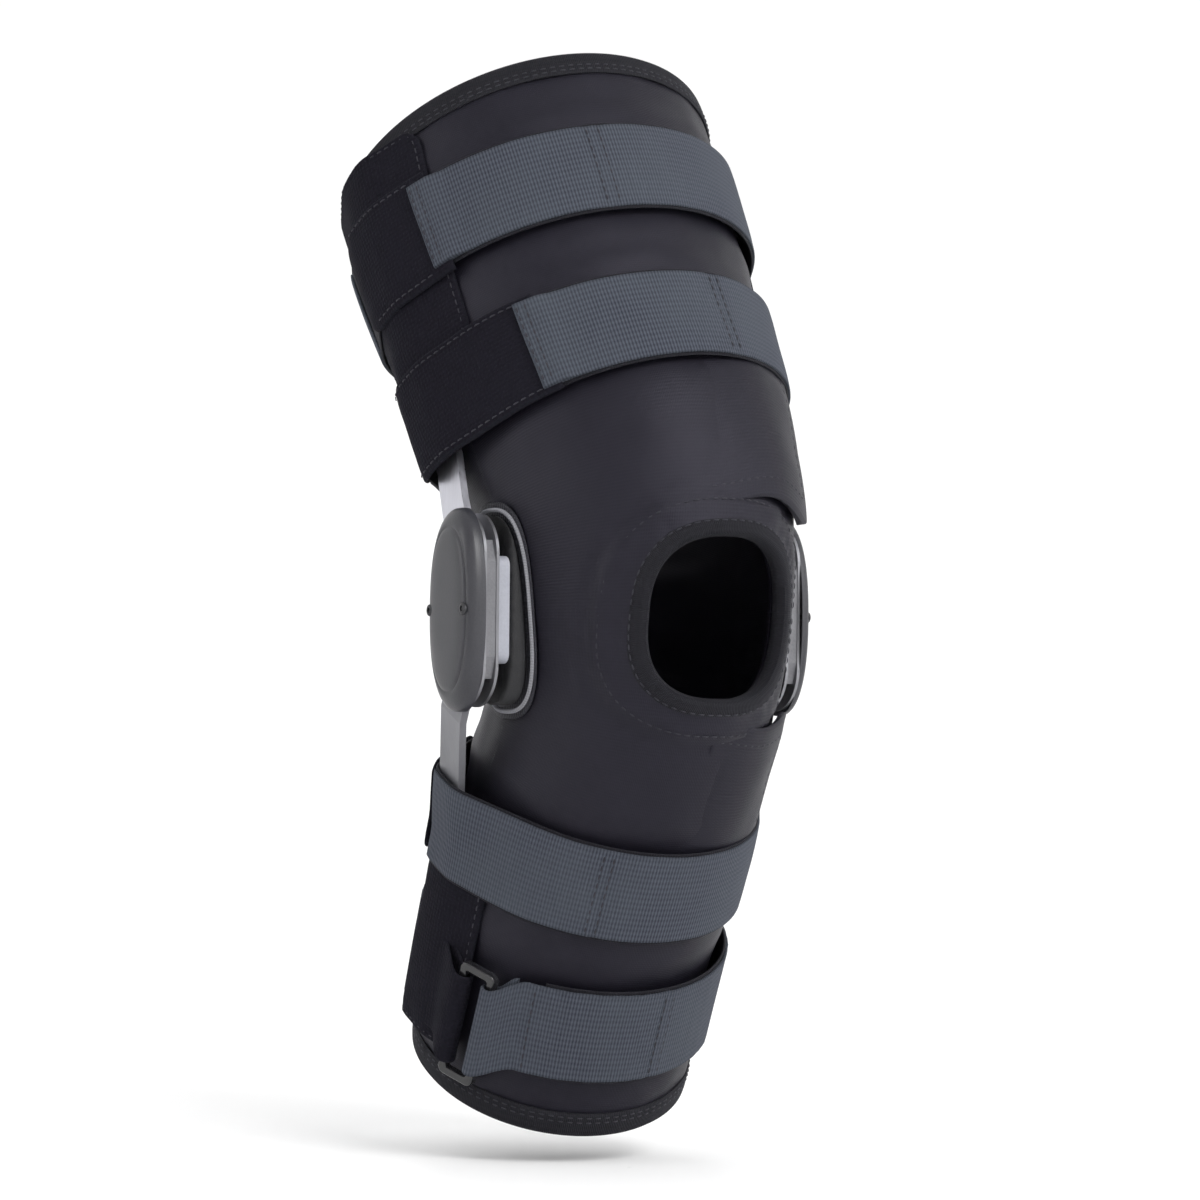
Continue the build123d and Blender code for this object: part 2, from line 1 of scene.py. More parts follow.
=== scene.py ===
import bmesh
import bpy
import numpy as np
from math import cos, sin, tan, radians, degrees, pi, sqrt
from mathutils import Vector, Matrix, noise


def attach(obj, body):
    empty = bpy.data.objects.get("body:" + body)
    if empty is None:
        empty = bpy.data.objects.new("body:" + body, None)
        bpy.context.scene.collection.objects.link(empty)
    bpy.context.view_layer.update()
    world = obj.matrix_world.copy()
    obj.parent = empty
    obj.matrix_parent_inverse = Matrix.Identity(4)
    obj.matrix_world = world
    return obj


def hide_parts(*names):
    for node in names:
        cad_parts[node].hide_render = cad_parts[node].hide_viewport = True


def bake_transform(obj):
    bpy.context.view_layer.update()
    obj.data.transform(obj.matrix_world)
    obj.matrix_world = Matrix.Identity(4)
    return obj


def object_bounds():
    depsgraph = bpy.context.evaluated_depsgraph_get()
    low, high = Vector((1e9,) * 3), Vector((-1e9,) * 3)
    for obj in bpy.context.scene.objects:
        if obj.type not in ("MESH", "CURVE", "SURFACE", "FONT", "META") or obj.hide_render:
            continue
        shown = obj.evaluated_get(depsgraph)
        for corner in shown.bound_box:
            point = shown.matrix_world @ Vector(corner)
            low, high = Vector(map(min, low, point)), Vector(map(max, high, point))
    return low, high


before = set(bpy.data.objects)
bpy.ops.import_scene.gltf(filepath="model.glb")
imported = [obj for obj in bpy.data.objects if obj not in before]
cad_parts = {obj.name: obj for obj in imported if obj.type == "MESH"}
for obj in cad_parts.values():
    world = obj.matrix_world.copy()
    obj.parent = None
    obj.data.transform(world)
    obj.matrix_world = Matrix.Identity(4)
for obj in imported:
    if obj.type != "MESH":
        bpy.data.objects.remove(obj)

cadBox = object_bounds()

# the leg that everything is wrapped round, in metres
leg = {
    "tilt": radians(25), "pivotHeight": 0.010, "bendLength": 0.060, "firstRow": 0.0039,
    # along the limb, half width, half depth, shift in x, shift back
    "thigh": [
        (0.054, 0.0635, 0.073, -0.0017, -0.0145), (0.104, 0.071, 0.075, -0.0035, -0.008),
        (0.164, 0.076, 0.078, -0.0056, -0.002), (0.219, 0.078, 0.080, -0.0075, 0.004),
    ],
    "calf": [
        (0.054, 0.055, 0.062, 0.0, -0.009), (0.099, 0.057, 0.061, 0.0, -0.006),
        (0.154, 0.057, 0.060, 0.0, -0.006), (0.206, 0.055, 0.057, 0.0, -0.011),
    ],
    "knee": (0.056, 0.066, -0.0015, -0.017),
    "armHalfWidth": 0.0095,
    # outer face of each arm: along the limb, distance from the middle
    "arms": {
        ("thigh", -1): [(0.034, 0.0745), (0.054, 0.0730), (0.104, 0.0783), (0.164, 0.0850),
        (0.219, 0.0886)],
        ("thigh", 1): [(0.034, 0.0663), (0.054, 0.0660), (0.104, 0.0712), (0.164, 0.0738), (0.219, 0.0739)],
        ("calf", -1): [(0.034, 0.0745), (0.054, 0.0705), (0.099, 0.0616), (0.154, 0.0604), (0.219, 0.0580)],
        ("calf", 1): [(0.034, 0.0663), (0.054, 0.0641), (0.099, 0.0610), (0.154, 0.0604), (0.219, 0.0580)],
    },
}
lateral, medial, frontWay = radians(180), 0.0, radians(-90)


def smoothTable(places, values):
    # a curve through the rows, with no overshoot to speak of
    places, values = np.array(places), np.array(values)
    slopes = np.gradient(values, places, axis=0)

    def at(u):
        u = np.clip(np.asarray(u, float), places[0], places[-1])
        i = np.clip(np.searchsorted(places, u) - 1, 0, len(places) - 2)
        span = (places[i + 1] - places[i])[..., None]
        t = ((u - places[i])[..., None]) / span
        a, b, c, d = 2 * t**3 - 3 * t**2 + 1, t**3 - 2 * t**2 + t, 3 * t**2 - 2 * t**3, t**3 - t**2
        return a * values[i] + b * span * slopes[i] + c * values[i + 1] + d * span * slopes[i + 1]
    return at


def sectionRows():
    rows = [(-(r[0] - leg["firstRow"]), r[1:]) for r in reversed(leg["calf"])]
    rows += [(0.0, leg["knee"])]
    rows += [(r[0] - leg["firstRow"], r[1:]) for r in leg["thigh"]]
    return [r[0] for r in rows], [r[1] for r in rows]


ovalAt = smoothTable(*sectionRows())


def centreAt(u):
    # y, z and lean of the limb's middle line at arc length u, up the thigh or down the calf
    tilt, bend = leg["tilt"], leg["bendLength"]
    turn = bend / tan(tilt)
    arcEnd = turn * tilt
    low = -leg["pivotHeight"] * tan(tilt)
    way = np.sign(u)
    s = np.abs(u)
    angle = np.minimum(s, arcEnd) / turn
    rest = np.maximum(s - arcEnd, 0)
    y = low + turn / cos(tilt) - turn * np.cos(angle) + rest * sin(tilt)
    z = turn * np.sin(angle) + rest * cos(tilt)
    return y, way * z, way * angle


def hullRadius(points, angles):
    # distance from the middle to the tight outline round some points
    pts = sorted(set(map(tuple, np.round(points, 7))))
    chains = []
    for line in (pts, pts[::-1]):
        chain = []
        for p in line:
            while len(chain) > 1:
                a, b = chain[-2], chain[-1]
                if (b[0] - a[0]) * (p[1] - a[1]) - (b[1] - a[1]) * (p[0] - a[0]) > 0:
                    break
                chain.pop()
            chain.append(p)
        chains += chain[:-1]
    hull = np.array(chains)
    after = np.roll(hull, -1, axis=0)
    normal = np.stack([after[:, 1] - hull[:, 1], hull[:, 0] - after[:, 0]], 1)
    reach = (normal * hull).sum(1)
    way = np.stack([np.cos(angles), np.sin(angles)], 1)
    facing = way @ normal.T
    distance = np.where(facing > 1e-9, reach / np.maximum(facing, 1e-9), 9.0)
    return distance.min(1)


wrapGrid = {"us": np.linspace(-0.204, 0.216, 106), "angles": np.linspace(-pi, pi, 181)}


def buildWrap():
    # a cloth pulled tight over the oval and both arms, with softened corners
    rows = []
    ring = np.linspace(0, 2 * pi, 72, endpoint=False)
    for u in wrapGrid["us"]:
        a, b, cx, cv = ovalAt(u)
        limb = "thigh" if u > 0 else "calf"
        along = abs(u) + leg["firstRow"]
        points = [(a * cos(q), b * sin(q)) for q in ring]
        for side in (-1, 1):
            track = leg["arms"][(limb, side)]
            x = side * np.interp(along, [t[0] for t in track], [t[1] for t in track])
            for v in (-leg["armHalfWidth"], leg["armHalfWidth"]):
                points.append((x - cx, v - cv))
        r = hullRadius(np.array(points), wrapGrid["angles"][:-1])
        for _ in range(3):
            r = (np.roll(r, 1) + 2 * r + np.roll(r, -1)) / 4
        rows.append(np.append(r, r[0]))
    return np.array(rows)


wrapGrid["radius"] = buildWrap()


def wrapRadius(u, phi):
    us, angles, grid = wrapGrid["us"], wrapGrid["angles"], wrapGrid["radius"]
    phi = (phi + pi) % (2 * pi) - pi
    fu = np.clip((u - us[0]) / (us[1] - us[0]), 0, len(us) - 1.001)
    fa = np.clip((phi - angles[0]) / (angles[1] - angles[0]), 0, len(angles) - 1.001)
    i, j = fu.astype(int), fa.astype(int)
    p, q = fu - i, fa - j
    top = grid[i, j] * (1 - q) + grid[i, j + 1] * q
    low = grid[i + 1, j] * (1 - q) + grid[i + 1, j + 1] * q
    return top * (1 - p) + low * p


def legPoint(u, phi, lift, over="skin"):
    # a point at height lift above the sleeve's face, or above what is pulled over the arms
    u, phi, lift = np.broadcast_arrays(np.asarray(u, float), np.asarray(phi, float),
        np.asarray(lift, float))
    rows = ovalAt(u)
    a, b, cx, cv = rows[..., 0], rows[..., 1], rows[..., 2], rows[..., 3]
    r = 1 / np.sqrt((np.cos(phi) / a) ** 2 + (np.sin(phi) / b) ** 2)
    if over == "wrap":
        r = np.maximum(r, wrapRadius(u, phi))
    x = cx + (r + lift) * np.cos(phi)
    v = cv + (r + lift) * np.sin(phi)
    y, z, lean = centreAt(u)
    return np.stack([x, y + v * np.cos(lean), z - v * np.sin(lean)], -1)


def findOnLeg(first, second, axes, start, over="skin"):
    # the place (u, phi) whose two world coordinates are the ones asked for
    u, phi = start
    step = 1e-4
    for _ in range(14):
        p = legPoint(u, phi, 0, over)
        e = np.array([first - p[axes[0]], second - p[axes[1]]])
        du = (legPoint(u + step, phi, 0, over) - p)[list(axes)] / step
        dp = (legPoint(u, phi + step, 0, over) - p)[list(axes)] / step
        move = np.linalg.solve(np.array([du, dp]).T, e)
        u, phi = u + np.clip(move[0], -0.03, 0.03), phi + np.clip(move[1], -0.4, 0.4)
    return float(u), float(phi)


def fromFront(x, z, over="skin"):
    return findOnLeg(x, z, (0, 2), (z * 0.7, frontWay + x * 9), over)


def fromSide(side, y, z, over="skin"):
    guess = lateral if side < 0 else medial
    return findOnLeg(y, z, (1, 2), (z * 0.9, guess + side * (y + 0.017) * 12), over)


# mesh helpers
def newObject(name, points, faces, material, cloth=None):
    mesh = bpy.data.meshes.new(name)
    mesh.from_pydata([tuple(p) for p in points], [], [tuple(f) for f in faces])
    mesh.validate()
    if cloth is not None:
        attribute = mesh.attributes.new("cloth", "FLOAT_VECTOR", "POINT")
        attribute.data.foreach_set("vector", np.asarray(cloth, np.float32).ravel())
    mesh.polygons.foreach_set("use_smooth", [True] * len(mesh.polygons))
    mesh.update()
    mesh.set_sharp_from_angle(angle=radians(52))
    mesh.materials.append(material)
    thing = bpy.data.objects.new(name, mesh)
    bpy.context.scene.collection.objects.link(thing)
    return thing


def slab(name, outer, inner, material, cloth, keep=None, closed=False):
    # a closed solid between two grids of points, leaving out the cells that keep says
    rows, cols = outer.shape[:2]
    index = np.arange(rows * cols).reshape(rows, cols)
    cells = cols if closed else cols - 1
    if keep is None:
        keep = np.ones((rows - 1, cells), bool)
    faces, under = [], rows * cols
    for i in range(rows - 1):
        for j in range(cells):
            if not keep[i, j]:
                continue
            k = (j + 1) % cols
            a, b, c, d = index[i, j], index[i, k], index[i + 1, k], index[i + 1, j]
            faces.append((a, b, c, d))
            faces.append((d + under, c + under, b + under, a + under))
            before = (j - 1) % cells if closed else j - 1
            following = (j + 1) % cells if closed else j + 1
            if i == 0 or not keep[i - 1, j]:
                faces.append((b, a, a + under, b + under))
            if i == rows - 2 or not keep[i + 1, j]:
                faces.append((d, c, c + under, d + under))
            if before < 0 or not keep[i, before]:
                faces.append((a, d, d + under, a + under))
            if following >= cells or not keep[i, following]:
                faces.append((c, b, b + under, c + under))
    points = np.concatenate([outer.reshape(-1, 3), inner.reshape(-1, 3)])
    both = np.concatenate([cloth.reshape(-1, 3), cloth.reshape(-1, 3)])
    used = sorted({v for f in faces for v in f})
    renumber = {v: n for n, v in enumerate(used)}
    faces = [tuple(renumber[v] for v in f) for f in faces]
    thing = newObject(name, points[used], faces, material, both[used])
    fixNormals(thing)
    return thing


def fixNormals(thing):
    bm = bmesh.new()
    bm.from_mesh(thing.data)
    bmesh.ops.recalc_face_normals(bm, faces=bm.faces)
    bm.to_mesh(thing.data)
    bm.free()


def rimSpacing(length, step, radius):
    # distances from one edge to the other, crowded at both edges for their rounding
    near = [0.0, 0.25 * radius, 0.6 * radius, radius, 1.8 * radius]
    middle = length - 2 * near[-1]
    count = max(1, int(round(middle / step)))
    inside = [near[-1] + middle * n / count for n in range(1, count)]
    return np.array(near + inside + [length - n for n in reversed(near)])


def roundShare(distance, radius):
    e = np.clip(distance / radius, 0, 1)
    return np.maximum(0.12, np.sqrt(np.clip(1 - (1 - e) ** 2, 0, 1)))


def clothPiece(name, us, phis, base, thick, material, over="wrap", edge=None, closed=False,
               relief=None, keep=None, along=None, across=None):
    # a layer of cloth over a grid of (u, phi), its rim rounded where edge is small
    if edge is None:
        share = np.ones(us.shape)
        edge = np.full(us.shape, 0.01)
    else:
        share = roundShare(edge, thick / 2)
    lift = relief(us, phis) if relief else 0.0
    outer = legPoint(us, phis, base + lift + thick / 2 * (1 + share), over)
    inner = legPoint(us, phis, base + np.minimum(lift, 0) + thick / 2 * (1 - share), over)
    if along is None:
        mid = legPoint(us, phis, base + thick, over)
        run = np.linalg.norm(np.diff(mid, axis=1), axis=2)
        along = np.concatenate([np.zeros((len(us), 1)), np.cumsum(run, axis=1)], axis=1)
        middleRow = along[len(us) // 2]
        along = np.tile(middleRow, (len(us), 1))
    if across is None:
        across = us
    cloth = np.stack([along, across, edge], -1)
    return slab(name, outer, inner, material, cloth, keep, closed)


def frameAlong(points, normals, closed):
    if closed:
        tangent = np.roll(points, -1, 0) - np.roll(points, 1, 0)
    else:
        tangent = np.gradient(points, axis=0)
    tangent /= np.linalg.norm(tangent, axis=1)[:, None]
    side = np.cross(normals, tangent)
    side /= np.linalg.norm(side, axis=1)[:, None]
    up = np.cross(tangent, side)
    return tangent, side, up


def legNormals(us, phis, over):
    step = 2e-3
    du = legPoint(us + step, phis, 0, over) - legPoint(us - step, phis, 0, over)
    dp = legPoint(us, phis + step * 8, 0, over) - legPoint(us, phis - step * 8, 0, over)
    n = np.cross(dp, du)
    n /= np.linalg.norm(n, axis=-1)[..., None]
    out = legPoint(us, phis, 0.01, over) - legPoint(us, phis, 0, over)
    return n * np.sign((n * out).sum(-1))[..., None]


def sweep(name, points, normals, profile, material, closed=False, caps=True):
    # a tape or cord of one profile, given as (side, up) points, along a line
    tangent, side, up = frameAlong(points, normals, closed)
    profile = np.array(profile)
    rings = points[:, None, :] + side[:, None, :] * profile[None, :, 0:1] + up[:, None, :] * profile[None,
        :, 1:2]
    n, m = rings.shape[:2]
    faces = []
    for i in range(n if closed else n - 1):
        k = (i + 1) % n
        for j in range(m):
            l = (j + 1) % m
            faces.append((i * m + j, i * m + l, k * m + l, k * m + j))
    if not closed and caps:
        faces.append(tuple(range(m)))
        faces.append(tuple((n - 1) * m + j for j in reversed(range(m))))
    run = np.concatenate([[0], np.cumsum(np.linalg.norm(np.diff(points, axis=0), axis=1))])
    cloth = np.zeros((n, m, 3))
    cloth[..., 0] = run[:, None]
    cloth[..., 1] = profile[None, :, 0]
    cloth[..., 2] = 0.01
    thing = newObject(name, rings.reshape(-1, 3), faces, material, cloth.reshape(-1, 3))
    fixNormals(thing)
    return thing


def roundProfile(radius, lift, count=10):
    return [(radius * cos(2 * pi * k / count), lift + radius * sin(2 * pi * k / count))
        for k in range(count)]


# stitching, gathered for each group and made into one mesh
stitching = {}


def stitchRow(group, us, phis, lift, over, look):
    # sewn dashes along a line on the leg
    points = legPoint(us, phis, lift, over)
    normals = legNormals(us, phis, over)
    stitchLine(group, points, normals, look)


def stitchLine(group, points, normals, look):
    run = np.concatenate([[0], np.cumsum(np.linalg.norm(np.diff(points, axis=0), axis=1))])
    pitch = look["length"] + look["gap"]
    count = int(run[-1] / pitch)
    for k in range(count):
        start = (k + 0.5) * pitch
        ends = [np.array([np.interp(s, run, points[:, c]) for c in range(3)])
                for s in (start, start + look["length"])]
        up = np.array([np.interp(start, run, normals[:, c]) for c in range(3)])
        stitching.setdefault(group, []).append((ends[0], ends[1], up, look["radius"]))


def makeStitching(group, material):
    points, faces = [], []
    for a, b, up, radius in stitching[group]:
        way = b - a
        length = np.linalg.norm(way)
        way = way / length
        side = np.cross(up, way)
        side /= np.linalg.norm(side)
        rings = ((0.0, 0.35, -0.5), (0.18, 0.85, 0.15), (0.5, 1.0, 0.35), (0.82, 0.85, 0.15),
            (1.0, 0.35, -0.5))
        base = len(points)
        for share, size, rise in rings:
            for k in range(6):
                q = 2 * pi * k / 6
                points.append(a + way * length * share + side * radius * size * cos(q)
                              + up * radius * (rise + size * 0.7 * sin(q)))
        for i in range(4):
            for k in range(6):
                l = (k + 1) % 6
                faces.append((base + i * 6 + k, base + i * 6 + l, base + i * 6 + 6 + l,
                    base + i * 6 + 6 + k))
        faces.append(tuple(base + k for k in reversed(range(6))))
        faces.append(tuple(base + 24 + k for k in range(6)))
    thing = newObject(group, points, faces, material, np.zeros((len(points), 3)))
    fixNormals(thing)
    return thing


print("leg shape ready")


# finishes
class Nodes:
    # short names for building a material's node tree
    def __init__(self, name):
        self.material = bpy.data.materials.new(name)
        self.material.use_nodes = True
        self.tree = self.material.node_tree
        self.shader = self.tree.nodes["Principled BSDF"]

    def add(self, kind, **settings):
        node = self.tree.nodes.new(kind)
        for key, value in settings.items():
            setattr(node, key, value)
        return node

    def plug(self, value, socket):
        if hasattr(value, "links"):
            self.tree.links.new(value, socket)
        elif value is not None:
            socket.default_value = value

    def maths(self, operation, a, b=None, clamp=False):
        node = self.add("ShaderNodeMath", operation=operation, use_clamp=clamp)
        self.plug(a, node.inputs[0])
        self.plug(b, node.inputs[1])
        return node.outputs[0]

    def noise(self, where, scale, detail=2.0, rough=0.5):
        node = self.add("ShaderNodeTexNoise")
        self.plug(where, node.inputs["Vector"])
        node.inputs["Scale"].default_value = scale
        node.inputs["Detail"].default_value = detail
        node.inputs["Roughness"].default_value = rough
        return node.outputs["Fac"]

    def spread(self, value, low, high, toLow=0.0, toHigh=1.0):
        node = self.add("ShaderNodeMapRange")
        for socket, v in zip(node.inputs, (value, low, high, toLow, toHigh)):
            self.plug(v, socket)
        return node.outputs[0]

    def mixColour(self, share, a, b):
        node = self.add("ShaderNodeMix", data_type="RGBA")
        self.plug(share, node.inputs["Factor"])
        self.plug(a, node.inputs[6])
        self.plug(b, node.inputs[7])
        return node.outputs[2]

    def bump(self, height, distance, strength=1.0, under=None):
        node = self.add("ShaderNodeBump")
        node.inputs["Strength"].default_value = strength
        node.inputs["Distance"].default_value = distance
        self.plug(height, node.inputs["Height"])
        self.plug(under, node.inputs["Normal"])
        return node.outputs[0]

    def objectPlace(self):
        return self.add("ShaderNodeTexCoord").outputs["Object"]

    def clothPlace(self):
        place = self.add("ShaderNodeAttribute", attribute_name="cloth", attribute_type="GEOMETRY")
        parts = self.add("ShaderNodeSeparateXYZ")
        self.plug(place.outputs["Vector"], parts.inputs[0])
        return parts.outputs[0], parts.outputs[1], parts.outputs[2]



def rgba(colour):
    return (*colour, 1.0)


def wovenFinish(name, look):
    # cloth with ribs along and across its length, loose fibres and worn edges
    n = Nodes(name)
    along, across, edge = n.clothPlace()
    place = n.objectPlace()
    soft = n.noise(place, look["fibreScale"], 3.0)
    large = n.noise(place, look["patchScale"], 2.0)
    wobble = n.maths("MULTIPLY", n.maths("SUBTRACT", large, 0.5), look["wobble"])
    ribs = n.maths("ADD", n.maths("MULTIPLY", n.maths("SINE", n.maths(
        "MULTIPLY", n.maths("ADD", along, wobble), 2 * pi / look["ribPitch"])), 0.5), 0.5)
    rows = n.maths("ADD", n.maths("MULTIPLY", n.maths("SINE", n.maths(
        "MULTIPLY", n.maths("ADD", across, wobble), 2 * pi / look["rowPitch"])), 0.5), 0.5)
    weave = n.maths("ADD", n.maths("MULTIPLY", ribs, look["ribShare"]),
                    n.maths("MULTIPLY", rows, 1 - look["ribShare"]))
    tone = n.maths("ADD", n.maths("MULTIPLY", weave, look["weaveTone"]),
                   n.maths("MULTIPLY", soft, 1 - look["weaveTone"]), clamp=True)
    colour = n.mixColour(n.spread(tone, 0.15, 0.85), rgba(look["dark"]), rgba(look["light"]))
    colour = n.mixColour(n.spread(large, 0.35, 0.75, 0.0, look["patchTone"]), colour, rgba(look["faded"]))
    worn = n.spread(edge, 0.0, look["wornWidth"], look["wornShare"], 0.0)
    colour = n.mixColour(n.maths("MULTIPLY", worn, soft), colour, rgba(look["worn"]))
    n.plug(colour, n.shader.inputs["Base Color"])
    n.plug(n.spread(tone, 0.0, 1.0, look["rough"] + 0.06, look["rough"] - 0.06),
        n.shader.inputs["Roughness"])
    n.shader.inputs["Sheen Weight"].default_value = look["sheen"]
    n.shader.inputs["Specular Tint"].default_value = (0.86, 0.84, 1.0, 1.0)
    n.shader.inputs["Sheen Roughness"].default_value = 0.45
    n.shader.inputs["Sheen Tint"].default_value = rgba(look["sheenTint"])
    n.shader.inputs["Specular IOR Level"].default_value = look["gloss"]
    fine = n.bump(soft, look["fibreDepth"])
    n.plug(n.bump(weave, look["weaveDepth"], 1.0, fine), n.shader.inputs["Normal"])
    return n.material


def mouldedFinish(name, look):
    # moulded plastic or foam with a fine grain, rubbed paler where it stands proud
    n = Nodes(name)
    place = n.objectPlace()
    grain = n.noise(place, look["grainScale"], 2.0)
    large = n.noise(place, 45.0, 3.0)
    tone = n.maths("ADD", n.maths("MULTIPLY", grain, 0.5), n.maths("MULTIPLY", large, 0.5))
    colour = n.mixColour(n.spread(tone, 0.35, 0.65), rgba(look["dark"]), rgba(look["light"]))
    bent = n.add("ShaderNodeNewGeometry").outputs["Pointiness"]
    rubbed = n.maths("MULTIPLY", n.spread(bent, 0.51, 0.60, 0.0, look["rubbed"]), n.spread(large, 0.3, 0.7))
    colour = n.mixColour(rubbed, colour, rgba(look["rubbedColour"]))
    n.plug(colour, n.shader.inputs["Base Color"])
    n.plug(n.spread(large, 0.3, 0.7, look["rough"] - 0.05, look["rough"] + 0.07),
        n.shader.inputs["Roughness"])
    n.shader.inputs["Specular IOR Level"].default_value = look["gloss"]
    n.plug(n.bump(grain, look["grainDepth"]), n.shader.inputs["Normal"])
    return n.material


def metalFinish(name, look):
    # drawn metal: long fine scratches, small smudges and brighter edges
    n = Nodes(name)
    place = n.objectPlace()
    stretched = n.add("ShaderNodeMapping")
    n.plug(place, stretched.inputs["Vector"])
    stretched.inputs["Scale"].default_value = look["grainWay"]
    scratches = n.noise(stretched.outputs[0], look["grainScale"], 4.0, 0.65)
    smudge = n.noise(place, 60.0, 3.0)
    colour = n.mixColour(n.spread(scratches, 0.3, 0.7), rgba(look["dark"]), rgba(look["light"]))
    bent = n.add("ShaderNodeNewGeometry").outputs["Pointiness"]
    colour = n.mixColour(n.spread(bent, 0.52, 0.62, 0.0, look["rubbed"]), colour,
        rgba(look["rubbedColour"]))
    n.plug(colour, n.shader.inputs["Base Color"])
    n.shader.inputs["Metallic"].default_value = look["metal"]
    rough = n.maths("ADD", n.spread(scratches, 0.3, 0.7, look["rough"] - 0.05, look["rough"] + 0.08),
                    n.spread(smudge, 0.45, 0.75, 0.0, 0.08))
    n.plug(rough, n.shader.inputs["Roughness"])
    n.plug(n.bump(scratches, look["grainDepth"]), n.shader.inputs["Normal"])
    return n.material


clothLook = {
    "fibreScale": 2200.0, "patchScale": 28.0, "wobble": 0.0004, "ribPitch": 0.0011, "rowPitch": 0.0013,
    "ribShare": 0.5, "weaveTone": 0.5, "patchTone": 0.4, "wornWidth": 0.0016, "wornShare": 0.6,
    "rough": 0.82, "sheen": 0.25, "sheenTint": (0.75, 0.78, 0.9), "gloss": 0.3,
    "fibreDepth": 0.00012, "weaveDepth": 0.00018,
    "dark": (0.010, 0.010, 0.013), "light": (0.022, 0.021, 0.027), "faded": (0.026, 0.025, 0.031),
    "worn": (0.06, 0.06, 0.07),
}
jersey = wovenFinish("jerseyNeoprene", {**clothLook, "ribPitch": 0.0007, "rowPitch": 0.0009,
    "weaveDepth": 0.00007,
                     "fibreDepth": 0.00006, "dark": (0.0040, 0.0036, 0.0062),
                     "light": (0.0085, 0.0078, 0.0122), "faded": (0.0092, 0.0085, 0.0130),
                     "worn": (0.014, 0.013, 0.018),
                     "rough": 0.50, "sheen": 0.0, "gloss": 0.24, "wornShare": 0.2})
tape = wovenFinish("hemTape", {**clothLook, "ribPitch": 0.0008, "rowPitch": 0.0022, "ribShare": 0.7,
                   "dark": (0.005, 0.005, 0.006), "light": (0.012, 0.012, 0.014),
                   "faded": (0.012, 0.012, 0.014),
                   "worn": (0.02, 0.02, 0.023), "sheen": 0.02, "gloss": 0.2})
elastic = wovenFinish("ribbedElastic", {**clothLook, "ribPitch": 0.0013, "rowPitch": 0.0024,
    "ribShare": 0.72,
                      "weaveTone": 0.65, "dark": (0.018, 0.021, 0.029), "light": (0.070, 0.078, 0.098),
                      "faded": (0.060, 0.070, 0.082), "worn": (0.018, 0.021, 0.025), "wornShare": 0.9,
                      "wornWidth": 0.0012, "weaveDepth": 0.00030, "rough": 0.8, "sheen": 0.02, "gloss": 0.2,
                      "wobble": 0.00025})
backing = wovenFinish("strapBacking", {**clothLook, "dark": (0.004, 0.004, 0.005),
    "light": (0.009, 0.009, 0.011),
                       "faded": (0.009, 0.009, 0.011), "worn": (0.015, 0.015, 0.018), "sheen": 0.02,
                       "gloss": 0.2})
pile = wovenFinish("loopPile", {**clothLook, "fibreScale": 900.0, "fibreDepth": 0.0006, "weaveTone": 0.12,
                   "ribPitch": 0.0018, "rowPitch": 0.0018, "dark": (0.006, 0.006, 0.008),
                   "light": (0.011, 0.010, 0.015), "faded": (0.010, 0.010, 0.014),
                   "worn": (0.015, 0.015, 0.019),
                   "rough": 0.92, "sheen": 0.01, "gloss": 0.06})
patchCloth = wovenFinish("patchCloth", {**clothLook, "dark": (0.006, 0.006, 0.007),
    "light": (0.012, 0.012, 0.014),
                         "faded": (0.011, 0.011, 0.013), "worn": (0.02, 0.02, 0.023), "rough": 0.5,
                         "gloss": 0.35, "sheen": 0.02})
paleCord = wovenFinish("palePiping", {**clothLook, "dark": (0.14, 0.14, 0.15), "light": (0.26, 0.26, 0.28),
                       "faded": (0.22, 0.22, 0.24), "worn": (0.3, 0.3, 0.32)})
thread = wovenFinish("blackThread", {**clothLook, "ribPitch": 0.0004, "dark": (0.004, 0.004, 0.005),
                     "light": (0.030, 0.029, 0.036), "faded": (0.024, 0.024, 0.029),
                     "worn": (0.03, 0.03, 0.034),
                     "rough": 0.6, "gloss": 0.25, "sheen": 0.02})
coverPlastic = mouldedFinish("coverPlastic", {
    "grainScale": 1500.0, "grainDepth": 0.00006, "dark": (0.020, 0.020, 0.025),
        "light": (0.031, 0.031, 0.037),
    "rubbed": 0.35, "rubbedColour": (0.13, 0.13, 0.15), "rough": 0.36, "gloss": 0.42})
cupPlastic = mouldedFinish("cupPlastic", {
    "grainScale": 1300.0, "grainDepth": 0.00005, "dark": (0.29, 0.30, 0.34), "light": (0.35, 0.36, 0.41),
    "rubbed": 0.4, "rubbedColour": (0.5, 0.5, 0.55), "rough": 0.5, "gloss": 0.45})
padFoam = mouldedFinish("padFoam", {
    "grainScale": 1800.0, "grainDepth": 0.00012, "dark": (0.010, 0.010, 0.011),
        "light": (0.020, 0.020, 0.022),
    "rubbed": 0.3, "rubbedColour": (0.06, 0.06, 0.065), "rough": 0.68, "gloss": 0.35})
ringPlastic = mouldedFinish("ringPlastic", {
    "grainScale": 600.0, "grainDepth": 0.00001, "dark": (0.008, 0.008, 0.009),
        "light": (0.014, 0.014, 0.016),
    "rubbed": 0.4, "rubbedColour": (0.07, 0.07, 0.08), "rough": 0.18, "gloss": 0.6})
stopPlastic = mouldedFinish("stopPlastic", {
    "grainScale": 1200.0, "grainDepth": 0.00004, "dark": (0.10, 0.10, 0.11), "light": (0.15, 0.15, 0.16),
    "rubbed": 0.3, "rubbedColour": (0.3, 0.3, 0.32), "rough": 0.5, "gloss": 0.4})
nylon = mouldedFinish("washerNylon", {
    "grainScale": 900.0, "grainDepth": 0.00003, "dark": (0.55, 0.55, 0.52), "light": (0.66, 0.66, 0.62),
    "rubbed": 0.2, "rubbedColour": (0.75, 0.75, 0.72), "rough": 0.45, "gloss": 0.4})
